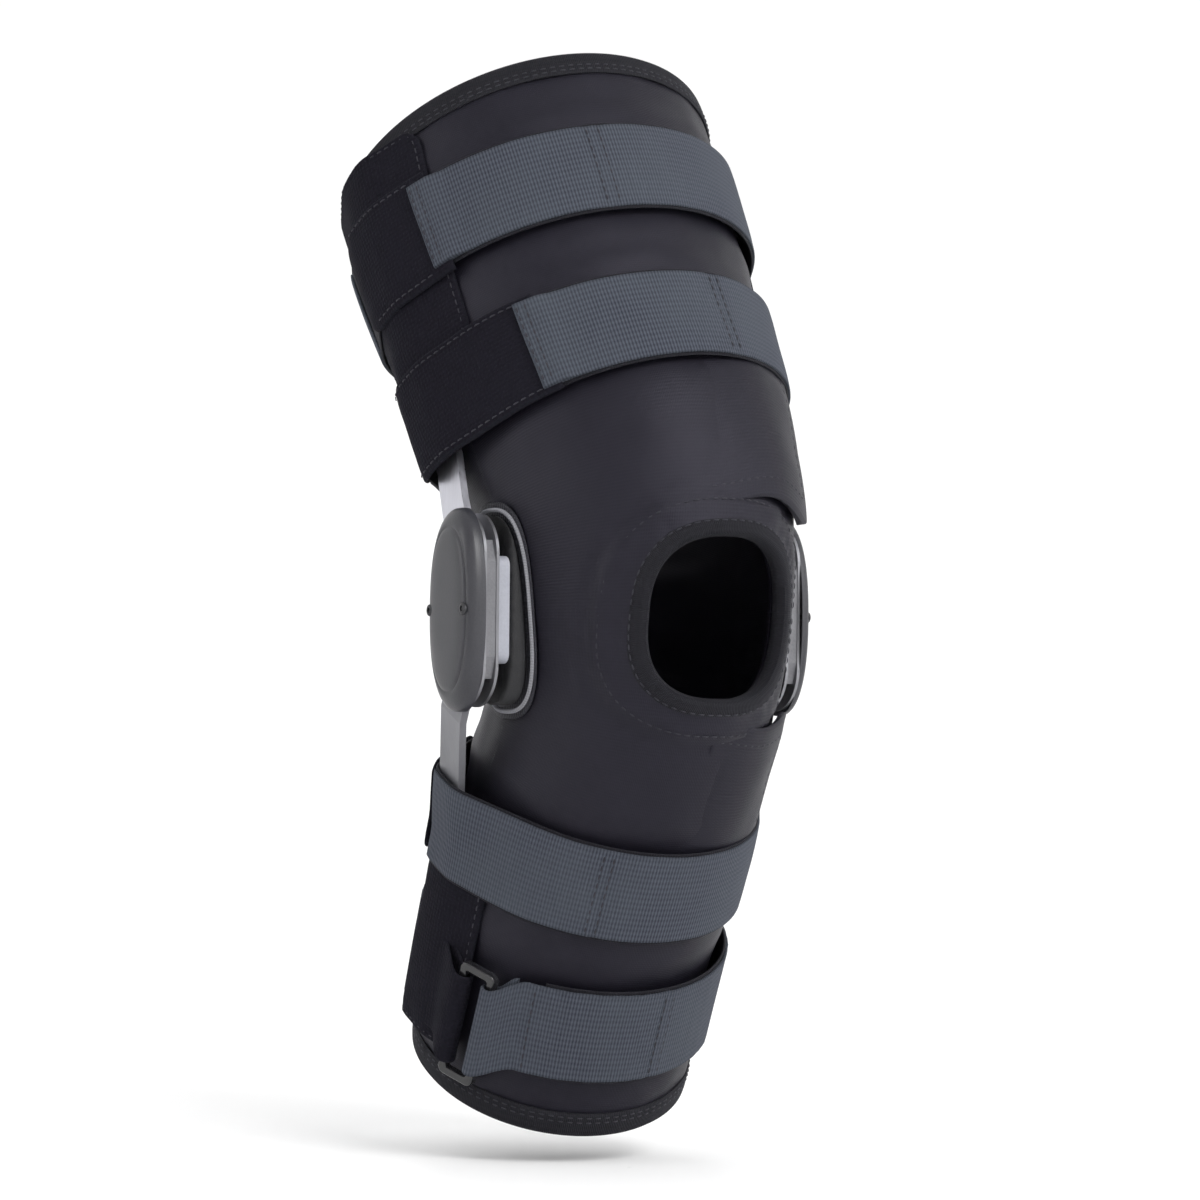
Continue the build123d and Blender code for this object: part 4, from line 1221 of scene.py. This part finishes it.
def makeFlap(node, f):
    way = 1 if f["upper"] else -1
    length = f["along"][1] - f["along"][0]
    t = rimSpacing(length, 0.0030, flapLook["thick"] / 2)
    share = t / length
    left = np.radians(f["left"][0] + (f["left"][1] - f["left"][0]) * share)
    right = np.radians(f["right"][0] + (f["right"][1] - f["right"][0]) * share)
    width = float(np.mean(right - left)) * 0.068
    columns = rimSpacing(width, 0.0030, flapLook["thick"] / 2) / width
    corner = flapLook["corner"]
    short = np.clip(corner - t, 0, corner)
    inset = (corner - np.sqrt(np.maximum(corner**2 - short**2, 0))) / 0.068
    phis = left[:, None] + (right - inset - left)[:, None] * columns[None, :]
    us = way * (f["along"][0] + t[:, None] + f["sag"] * (1 - share[:, None]) * np.sin(pi * columns[None,
        :]) ** 2)
    edge = np.minimum(np.minimum(t, length - t)[:, None], np.minimum(columns, 1 - columns)[None, :] * width)

    def relief(u, p):
        curl = f["curl"] * np.clip(1 - t[:, None] / 0.020, 0, 1) * columns[None, :] ** 3
        puckers = 0.0005 * np.sin(t[:, None] / 0.0045 + 2.5 * fieldNoise(u, p, 20.0, 2.0, 3.0)) * bell(
            (1 - columns[None, :]) * width - 0.012, 0.008)
        near = np.clip(columns[None, :] / f["fade"], 0, 1)
        sunk = (1 - near * near * (3 - 2 * near)) * (flapLook["base"] + flapLook["thick"] + 0.0004)
        return curl + puckers - sunk + 0.0004 * near * fieldNoise(u, p, 40.0, 3.0, 17.0) - 0.0004 * bell(
            edge - flapLook["seam"], 0.0012)
    piece = clothPiece(f["piece"], us, phis, flapLook["base"], flapLook["thick"], jersey, "skin", edge,
        relief=relief,
                       along=np.tile(columns * width, (len(t), 1)),
                       across=np.tile(t[:, None], (1, len(columns))))
    top = flapLook["base"] + flapLook["thick"] - 0.0001
    group = f["piece"] + "Stitches"
    k = int(np.argmin(np.abs(t - 0.004)))
    m = int(np.argmin(np.abs((1 - columns) * width - flapLook["seam"])))
    lift = relief(us, phis)
    for rows, cols in ((slice(k, None), m), (k, slice(3, m + 1))):
        points = legPoint(us[rows, cols], phis[rows, cols], top + lift[rows, cols], "skin")
        normals = legNormals(us[rows, cols], phis[rows, cols], "skin")
        stitchLine(group, points, normals, thread12)
    blendPiece(piece, f["upper"])
    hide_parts(node)
    stitches = makeStitching(group, thread)
    blendPiece(stitches, f["upper"])


for node, f in flaps.items():
    makeFlap(node, f)
print("flaps ready")


# hinges: wear patch with pale piping, ribbed pad, crowned cover and its screws
hinges = {
    "lateral": {"side": -1, "name": "outer", "plateFrom": 0.0697, "coverDepth": 0.0085},
    "medial": {"side": 1, "name": "inner", "plateFrom": 0.0610, "coverDepth": 0.0055},
}
patchLook = {"halfWidth": 0.0222, "halfHeight": 0.0425, "square": 2.9, "base": 0.0004, "thick": 0.0012,
             "pipe": 0.00085, "pipeInset": 0.0016, "count": 96}
padLook = {"halfWidth": 0.017, "halfHeight": 0.037, "square": 3.0, "clear": 0.0022, "innerClear": 0.0031,
    "depthShare": 0.45, "innerShare": 0.26,
           "ribPitch": 0.0042, "ribDepth": 0.0007, "count": 88}
coverLook = {"halfWidth": 0.019, "halfHeight": 0.040, "square": 2.35, "wall": 0.0018, "count": 96,
             "screwAt": 0.0142, "screwHead": 0.0024, "grooveAt": 0.80}
plateStack = 0.0012 + 2 * 0.0006 + 0.003 + 0.0012


def ovalPoint(look, angle, size=1.0):
    p = look["square"]
    c, s = cos(angle), sin(angle)
    k = (abs(c) ** p + abs(s) ** p) ** (-1 / p)
    return look["halfWidth"] * size * c * k, look["halfHeight"] * size * s * k


def polarSolid(name, outerRings, innerRings, material, cloth):
    # a closed solid from rings of points, middle first, on its outer and inner face
    outer, inner = np.array(outerRings), np.array(innerRings)
    rows, count = outer.shape[:2]
    points = np.concatenate([outer.reshape(-1, 3), inner.reshape(-1, 3)])
    under = rows * count
    faces = []
    for i in range(rows - 1):
        for j in range(count):
            k = (j + 1) % count
            faces.append((i * count + j, i * count + k, (i + 1) * count + k, (i + 1) * count + j))
            faces.append((under + (i + 1) * count + j, under + (i + 1) * count + k, under + i * count + k,
                under + i * count + j))
    for j in range(count):
        k = (j + 1) % count
        last = (rows - 1) * count
        faces.append((last + j, last + k, under + last + k, under + last + j))
    faces.append(tuple(reversed(range(count))))
    faces.append(tuple(under + j for j in range(count)))
    both = np.concatenate([np.array(cloth).reshape(-1, 3)] * 2)
    thing = newObject(name, points, faces, material, both)
    fixNormals(thing)
    return thing


def makePatch(h):
    look, side = patchLook, h["side"]
    p = look["square"]
    for way, part in ((1, "Upper"), (-1, "Lower")):
        t = look["halfHeight"] * 0.9995 * np.sin(np.linspace(0, pi / 2, 22))
        half = look["halfWidth"] * (1 - (t / look["halfHeight"]) ** p) ** (1 / p)
        columns = np.sin(np.linspace(-pi / 2, pi / 2, 19))
        us, phis = np.zeros((len(t), 19)), np.zeros((len(t), 19))
        for i in range(len(t)):
            for j in range(19):
                us[i, j], phis[i, j] = fromSide(side, half[i] * columns[j], way * max(t[i], 0.00001))
        if side < 0:
            phis = phis % (2 * pi)
        size = ((half[:, None] * np.abs(columns)[None, :] / look["halfWidth"]) ** p + (t[:,
            None] / look["halfHeight"]) ** p) ** (1 / p)
        edge = np.maximum(1 - size, 0) * look["halfWidth"]
        patch = clothPiece(h["name"] + "WearPatch" + part, us, phis, look["base"], look["thick"],
            patchCloth, "skin", edge,
                           along=np.tile(t[:, None], (1, 19)), across=half[:, None] * columns[None, :])
        blendPiece(patch, way > 0)
        angles = np.linspace(0, pi, 49)
        share = 1 - look["pipeInset"] / look["halfWidth"]
        where = np.array([fromSide(side, v, way * max(z, 0.00001)) for v,
            z in (ovalPoint(look, a, share) for a in angles)])
        if side < 0:
            where[:, 1] = where[:, 1] % (2 * pi)
        points = legPoint(where[:, 0], where[:, 1], look["base"] + look["thick"])
        normals = legNormals(where[:, 0], where[:, 1], "skin")
        pipe = sweep(h["name"] + "PatchPiping" + part, points, normals,
            roundProfile(look["pipe"], 0.0002, 10), paleCord)
        blendPiece(pipe, way > 0)
        if way > 0:
            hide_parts(("lateral" if side < 0 else "medial") + "_wear_patch")


def makePad(h):
    look, side = padLook, h["side"]
    clear = look["clear"] if side < 0 else look["innerClear"]
    skin = 0.056 + side * leg["knee"][2] + clear
    top = skin + (h["plateFrom"] - skin) * (look["depthShare"] if side < 0 else look["innerShare"])
    angles = np.linspace(0, 2 * pi, look["count"], endpoint=False)
    sizes = [0.05, 0.3, 0.5, 0.64, 0.76, 0.86, 0.93, 0.975, 1.0]
    outer, inner, cloth = [], [], []
    for size in sizes:
        face, base, marks = [], [], []
        for a in angles:
            y, z = ovalPoint(look, a, size)
            u, phi = fromSide(side, y, z)
            low = legPoint(u, phi, clear)[0]
            round_ = 0.0016 * (1 - sqrt(max(0.0, 1 - max(0.0, (size - 0.86) / 0.14) ** 2)))
            rib = look["ribDepth"] * (0.5 + 0.5 * cos(2 * pi * z / look["ribPitch"])) * min(1.0, size / 0.5)
            face.append((side * (top - round_ - rib), y, z))
            base.append((low, y, z))
            marks.append((z, y, (1 - size) * look["halfWidth"]))
        outer.append(face)
        inner.append(base)
        cloth.append(marks)
    # keep a thin edge where the pad would meet the sleeve
    outer, inner = np.array(outer), np.array(inner)
    outer[..., 0] = side * np.maximum(side * outer[..., 0], side * inner[..., 0] + 0.0006)
    pad = polarSolid(h["name"] + "CondylePad", outer, inner, padFoam, cloth)
    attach(pad, "lateral_hinge" if side < 0 else "medial_hinge")
    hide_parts(("lateral" if side < 0 else "medial") + "_condyle_pad")


def domeHeight(look, depth, size):
    # height of the cover's crown at a share of the way out to its rim
    crown = depth * (1 - min(1.0, size) ** 5.0) ** 0.42
    groove = 0.00045 * float(bell(size - look["grooveAt"], 0.018))
    return crown - groove


def makeCover(h):
    look, side, depth = coverLook, h["side"], h["coverDepth"]
    start = h["plateFrom"] + plateStack
    angles = np.linspace(0, 2 * pi, look["count"], endpoint=False)
    sizes = [0.02, 0.2, 0.4, 0.55, 0.66, 0.74, 0.775, 0.79, 0.80, 0.81, 0.825, 0.86, 0.90, 0.935, 0.96,
        0.98, 0.992, 1.0]
    outer, inner, cloth = [], [], []
    for size in sizes:
        height = domeHeight(look, depth * 0.86, size) + depth * 0.14
        hollow = max(0.0, domeHeight({**look, "grooveAt": 9.0}, depth - look["wall"],
            min(1.0, size * 1.06)))
        face, base, marks = [], [], []
        for a in angles:
            y, z = ovalPoint(look, a, size)
            face.append((side * (start + height), y, z))
            base.append((side * (start + (hollow if size < 0.94 else 0.0)), y, z))
            marks.append((z, y, (1 - size) * look["halfWidth"]))
        outer.append(face)
        inner.append(base)
        cloth.append(marks)
    cover = polarSolid(h["name"] + "HingeCover", outer, inner, coverPlastic, cloth)
    body = "lateral_hinge" if side < 0 else "medial_hinge"
    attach(cover, body)
    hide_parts(("lateral" if side < 0 else "medial") + "_hinge_cover")
    # screw heads with a hexagonal socket, on stems that reach the inner plate
    points, faces = [], []
    level = start + domeHeight(look, depth * 0.86, look["screwAt"] / look["halfWidth"]) + depth * 0.14
    for y in (-look["screwAt"], look["screwAt"]):
        head = look["screwHead"]
        rings = [
            (0.00125, h["plateFrom"] - level, 24), (0.00125, -0.0004, 24), (head, -0.0004, 24),
            (head, 0.0001, 24),
            (head * 0.93, 0.00045, 24), (head * 0.7, 0.0007, 24), (head * 0.52, 0.00075, 6),
            (head * 0.48, 0.0006, 6),
            (head * 0.46, -0.0002, 6), (0.0001, -0.0003, 6),
        ]
        base = len(points)
        for radius, rise, corners in rings:
            for k in range(24):
                q = 2 * pi * k / 24
                r = radius
                if corners == 6:
                    r = radius * cos(pi / 6) / cos((q % (pi / 3)) - pi / 6)
                points.append((side * (level + rise), y + r * cos(q), r * sin(q)))
        for i in range(len(rings) - 1):
            for k in range(24):
                m = (k + 1) % 24
                faces.append((base + i * 24 + k, base + i * 24 + m, base + i * 24 + 24 + m,
                    base + i * 24 + 24 + k))
        faces.append(tuple(base + k for k in range(24)))
        faces.append(tuple(base + (len(rings) - 1) * 24 + k for k in reversed(range(24))))
    screws = newObject(h["name"] + "CoverScrews", points, faces, screwMetal, np.zeros((len(points), 3)))
    fixNormals(screws)
    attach(screws, body)
    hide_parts(("lateral" if side < 0 else "medial") + "_cover_screws")


for h in hinges.values():
    makePatch(h)
    makePad(h)
    makeCover(h)
print("hinges ready")


# lowest strap, doubled back round the front bar of its ring, and the ring's keeper
ringSeat = {"turn": radians(-27), "lift": 0.0062, "bar": 0.0070, "along": 0.153, "loopRadius": 0.0034,
            "loopHalf": 0.0193, "tailEnd": 0.021}
lowStrap = {"body": "calf", "elasticTo": 158, "stitchAt": (-81.0, -77.5), "flat": (0.0386, 0.33),
            "keeperBack": 0.012}


def ringFrame():
    a, b, cx, cv = ovalAt(-(ringSeat["along"] - leg["firstRow"]))
    turn = ringSeat["turn"]
    tilt = leg["tilt"]
    xAxis, yAxis = np.array([-1.0, 0, 0]), np.array([0, cos(tilt), sin(tilt)])
    zAxis = np.array([0, sin(tilt), -cos(tilt)])
    origin = np.array([0, 0, -leg["pivotHeight"]])
    out = xAxis * (cos(turn) / a) + yAxis * (sin(turn) / b)
    out /= np.linalg.norm(out)
    roundLimb = yAxis * (b * cos(turn)) - xAxis * (a * sin(turn))
    roundLimb /= np.linalg.norm(roundLimb)
    spot = origin + xAxis * (a * cos(turn) - cx) + yAxis * (cv + b * sin(turn)) + zAxis * ringSeat["along"]
    wide = np.cross(out, roundLimb)
    return spot + out * ringSeat["lift"], roundLimb, out, wide


def loopedStrip(name, way, thick, material, tailBase, underBase, tailAngles, halfWidth, seed,
    seamAngles=()):
    # a strip that comes along the limb, goes round one bar of the ring and ends underneath
    seat, along, out, wide = ringFrame()
    laid = strapsLaid["strap_4"]
    bar = way * ringSeat["bar"]
    radius = ringSeat["loopRadius"]
    # place on the limb of each distance along the ring's own plane
    scan = np.linspace(radians(95), radians(265), 400)
    line = legPoint(strapMiddle(laid, scan), scan, 0.004)
    offset = (line - seat) @ along
    order = np.argsort(offset)
    scanAt = lambda s: np.interp(s, offset[order], scan[order])
    w = rimSpacing(2 * halfWidth, 0.0042, thick / 2) - halfWidth
    limb = laid["limb"]
    wideWay = 1.0 if ((legPoint(strapMiddle(laid, pi) + limb * 0.01, pi,
        0) - legPoint(strapMiddle(laid, pi), pi, 0)) @ wide) > 0 else -1.0
    outerCols, innerCols, alongs = [], [], []

    def onLimb(phi, lift):
        return legPoint(strapMiddle(laid, phi) + limb * w, np.full(len(w), phi), lift)

    def column(top, under, s):
        outerCols.append(top)
        innerCols.append(under)
        alongs.append(s)

    edgeShare = roundShare(halfWidth - np.abs(w), thick / 2)
    first, last = tailAngles
    length = 0.0
    previous = None
    for phi in np.linspace(first, last, max(6, int(abs(last - first) / 0.042))):
        lift = tailBase + 0.0003 * float(fieldNoise(np.array([phi * 0.3]), np.array([phi]), 50.0, 4.0,
            seed)[0])
        for angle in seamAngles:
            lift -= 0.0005 * float(bell(phi - radians(angle) - 2 * pi, 0.014))
        mid = onLimb(phi, lift + thick / 2)[len(w) // 2]
        if previous is not None:
            length += float(np.linalg.norm(mid - previous))
        previous = mid
        column(onLimb(phi, lift + thick / 2 * (1 + edgeShare)),
            onLimb(phi, lift + thick / 2 * (1 - edgeShare)), length)

    def inPlane(s, h, normalS, normalH, mix, sLimb, lift):
        # blends from the ring's own plane to the limb's surface
        nonlocal length, previous
        base = seat + along * s + out * h
        normal = along * normalS + out * normalH
        flatTop = base[None, :] + wide[None, :] * (w * wideWay)[:, None] + normal[None,
            :] * (thick / 2 * edgeShare)[:, None]
        flatLow = base[None, :] + wide[None, :] * (w * wideWay)[:, None] - normal[None,
            :] * (thick / 2 * edgeShare)[:, None]
        if mix < 1:
            phi = float(scanAt(sLimb))
            flip = 1 if normalH > 0 else -1
            limbTop = onLimb(phi, lift + flip * thick / 2 * edgeShare)
            limbLow = onLimb(phi, lift - flip * thick / 2 * edgeShare)
            flatTop = flatTop * mix + limbTop * (1 - mix)
            flatLow = flatLow * mix + limbLow * (1 - mix)
        mid = (flatTop + flatLow)[len(w) // 2] / 2
        length += float(np.linalg.norm(mid - previous))
        previous = mid
        column(flatTop, flatLow, length)

    reach = ringSeat["tailEnd"]
    for k in range(1, 8):
        share = k / 8
        s = way * (reach + (ringSeat["bar"] - reach) * share)
        mix = share * share * (3 - 2 * share)
        inPlane(s, radius, 0.0, 1.0, mix, s, tailBase + thick / 2)
    for k in range(13):
        # goes from the top of the bar over its inner side to underneath
        c = -way * sin(pi * k / 12)
        q = cos(pi * k / 12)
        inPlane(bar + radius * c, radius * q, c, q, 1.0, 0.0, 0.0)
    for k in range(1, 7):
        share = k / 6
        s = way * (ringSeat["bar"] + (reach * 0.8 - ringSeat["bar"]) * share)
        mix = 1 - share * share * (3 - 2 * share)
        inPlane(s, -radius, 0.0, -1.0, mix, s, underBase)
    outer = np.stack(outerCols, 1)
    inner = np.stack(innerCols, 1)
    alongs = np.array(alongs)
    ends = np.minimum(alongs, alongs[-1] - alongs)
    edge = np.minimum((halfWidth - np.abs(w))[:, None], ends[None, :])
    cloth = np.stack([np.tile(alongs, (len(w), 1)), np.tile(w[:, None], (1, len(alongs))),
        np.maximum(edge, 0)], -1)
    return slab(name, outer, inner, material, cloth), alongs[-1]


laid = strapsLaid["strap_4"]
seat, alongAxis = ringFrame()[:2]
scan = np.linspace(radians(95), radians(265), 400)
offsets = (legPoint(strapMiddle(laid, scan), scan, 0.004) - seat) @ alongAxis
order = np.argsort(offsets)
tailFront = float(np.interp(-ringSeat["tailEnd"], offsets[order], scan[order]))
tailBack = float(np.interp(ringSeat["tailEnd"], offsets[order], scan[order]))
lowBase = strapLook["base"] + strapLook["backing"]
farEnd = radians(lowStrap["elasticTo"] + 360)
lowElastic, lowLength = loopedStrip("calfStrapLowElastic", -1, 0.0013, elastic, lowBase,
    strapLook["base"] + 0.0005,
                                    (farEnd, tailFront), ringSeat["loopHalf"], 21.0, lowStrap["stitchAt"])
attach(lowElastic, "calf")
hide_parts("strap_4")
keeperStart = anglesAt(float(strapMiddle(laid, pi)), lowStrap["keeperBack"], -1)
keeper, keeperLength = loopedStrip("ringKeeper", 1, 0.0013, pile, strapLook["base"] + 0.0013,
    strapLook["base"] + 0.0003,
                                   (keeperStart, tailBack), ringSeat["loopHalf"], 25.0)
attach(keeper, "calf")
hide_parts("strap_4_keeper")
phiFrom, phiTo = farEnd - radians(2.0), tailFront + radians(6)
lowBacking = tongue("calfStrapLowBacking", lambda p: strapMiddle(laid, p), -1, phiTo, phiFrom,
    strapLook["backHalf"],
                    strapLook["base"], strapLook["backing"], backing)
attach(lowBacking, "calf")
for angle in lowStrap["stitchAt"]:
    seamAcross("calfStrapLowStitches", laid, angle, lowBase + 0.0011, ringSeat["loopHalf"] - 0.001)
seamAcross("calfStrapLowStitches", laid, degrees(tailFront) + 3.0, lowBase + 0.0013,
    ringSeat["loopHalf"] - 0.001)
lowStitches = makeStitching("calfStrapLowStitches", thread)
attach(lowStitches, "calf")
print("ring strap ready")

# bowl-shaped white studio
studio = {"radius": 2.7, "wallHeight": 3.2, "corner": 1.3, "floorGap": 0.0008}
floorLevel = cadBox[0][2] - studio["floorGap"]
profile = [(0.001, 0.0)] + [(r, 0.0) for r in np.linspace(0.2, studio["radius"] - studio["corner"], 8)]
profile += [(studio["radius"] - studio["corner"] + studio["corner"] * sin(q),
    studio["corner"] * (1 - cos(q)))
            for q in np.linspace(0.12, pi / 2, 12)]
profile.append((studio["radius"], studio["wallHeight"]))
points = [(r * cos(q), r * sin(q), floorLevel + z) for r, z in profile for q in np.linspace(0, 2 * pi, 96,
    endpoint=False)]
faces = [(i * 96 + j, i * 96 + (j + 1) % 96, (i + 1) * 96 + (j + 1) % 96, (i + 1) * 96 + j)
         for i in range(len(profile) - 1) for j in range(96)]
paper = Nodes("studioPaper")
paperTone = paper.noise(paper.objectPlace(), 3.0, 2.0)
paper.plug(paper.mixColour(paperTone, rgba((0.90, 0.90, 0.90)), rgba((0.93, 0.93, 0.93))),
    paper.shader.inputs["Base Color"])
paper.shader.inputs["Roughness"].default_value = 0.9
paper.shader.inputs["Specular IOR Level"].default_value = 0.1
floor = newObject("studioFloor", points, faces, paper.material)

world = bpy.data.worlds.new("studioLight")
world.use_nodes = True
world.node_tree.nodes["Background"].inputs["Color"].default_value = (1.0, 1.0, 1.0, 1.0)
world.node_tree.nodes["Background"].inputs["Strength"].default_value = 0.78
bpy.context.scene.world = world
lights = {
    "keyLight": {"place": (0.1, -1.9, 1.2), "size": 1.1, "power": 30},
    "fillLight": {"place": (1.5, -1.5, 0.7), "size": 1.4, "power": 10},
    "backLight": {"place": (0.6, 1.6, 1.5), "size": 1.0, "power": 10},
    "sideLight": {"place": (-1.7, 0.6, 0.5), "size": 0.8, "power": 4},
}
for name, light in lights.items():
    data = bpy.data.lights.new(name, "AREA")
    data.shape = "DISK"
    data.size = light["size"]
    data.energy = light["power"]
    lamp = bpy.data.objects.new(name, data)
    lamp.location = light["place"]
    lamp.rotation_euler = (-Vector(light["place"])).to_track_quat("-Z", "Y").to_euler()
    bpy.context.scene.collection.objects.link(lamp)

shot = {"azimuth": -29.0, "elevation": -2.0, "roll": 0.5, "distance": 1.6, "lens": 120.0,
        "right": -0.0136, "up": 0.0056}
az, el = radians(shot["azimuth"]), radians(shot["elevation"])
rightWay = Vector((cos(az), sin(az), 0))
backWards = Vector((sin(az) * cos(el), -cos(az) * cos(el), sin(el)))
upWay = backWards.cross(rightWay)
target = rightWay * shot["right"] + upWay * shot["up"]
cameraData = bpy.data.cameras.new("camera")
cameraData.lens = shot["lens"]
cameraData.sensor_width = 36
cameraData.clip_end = 20
camera = bpy.data.objects.new("camera", cameraData)
turned = Matrix((rightWay, upWay, backWards)).transposed().to_4x4()
camera.matrix_world = Matrix.Translation(target + backWards
    * shot["distance"]) @ turned @ Matrix.Rotation(radians(shot["roll"]), 4, "Z")
bpy.context.scene.collection.objects.link(camera)
bpy.context.scene.camera = camera
bpy.context.scene.view_settings.view_transform = "Standard"
print("studio ready")
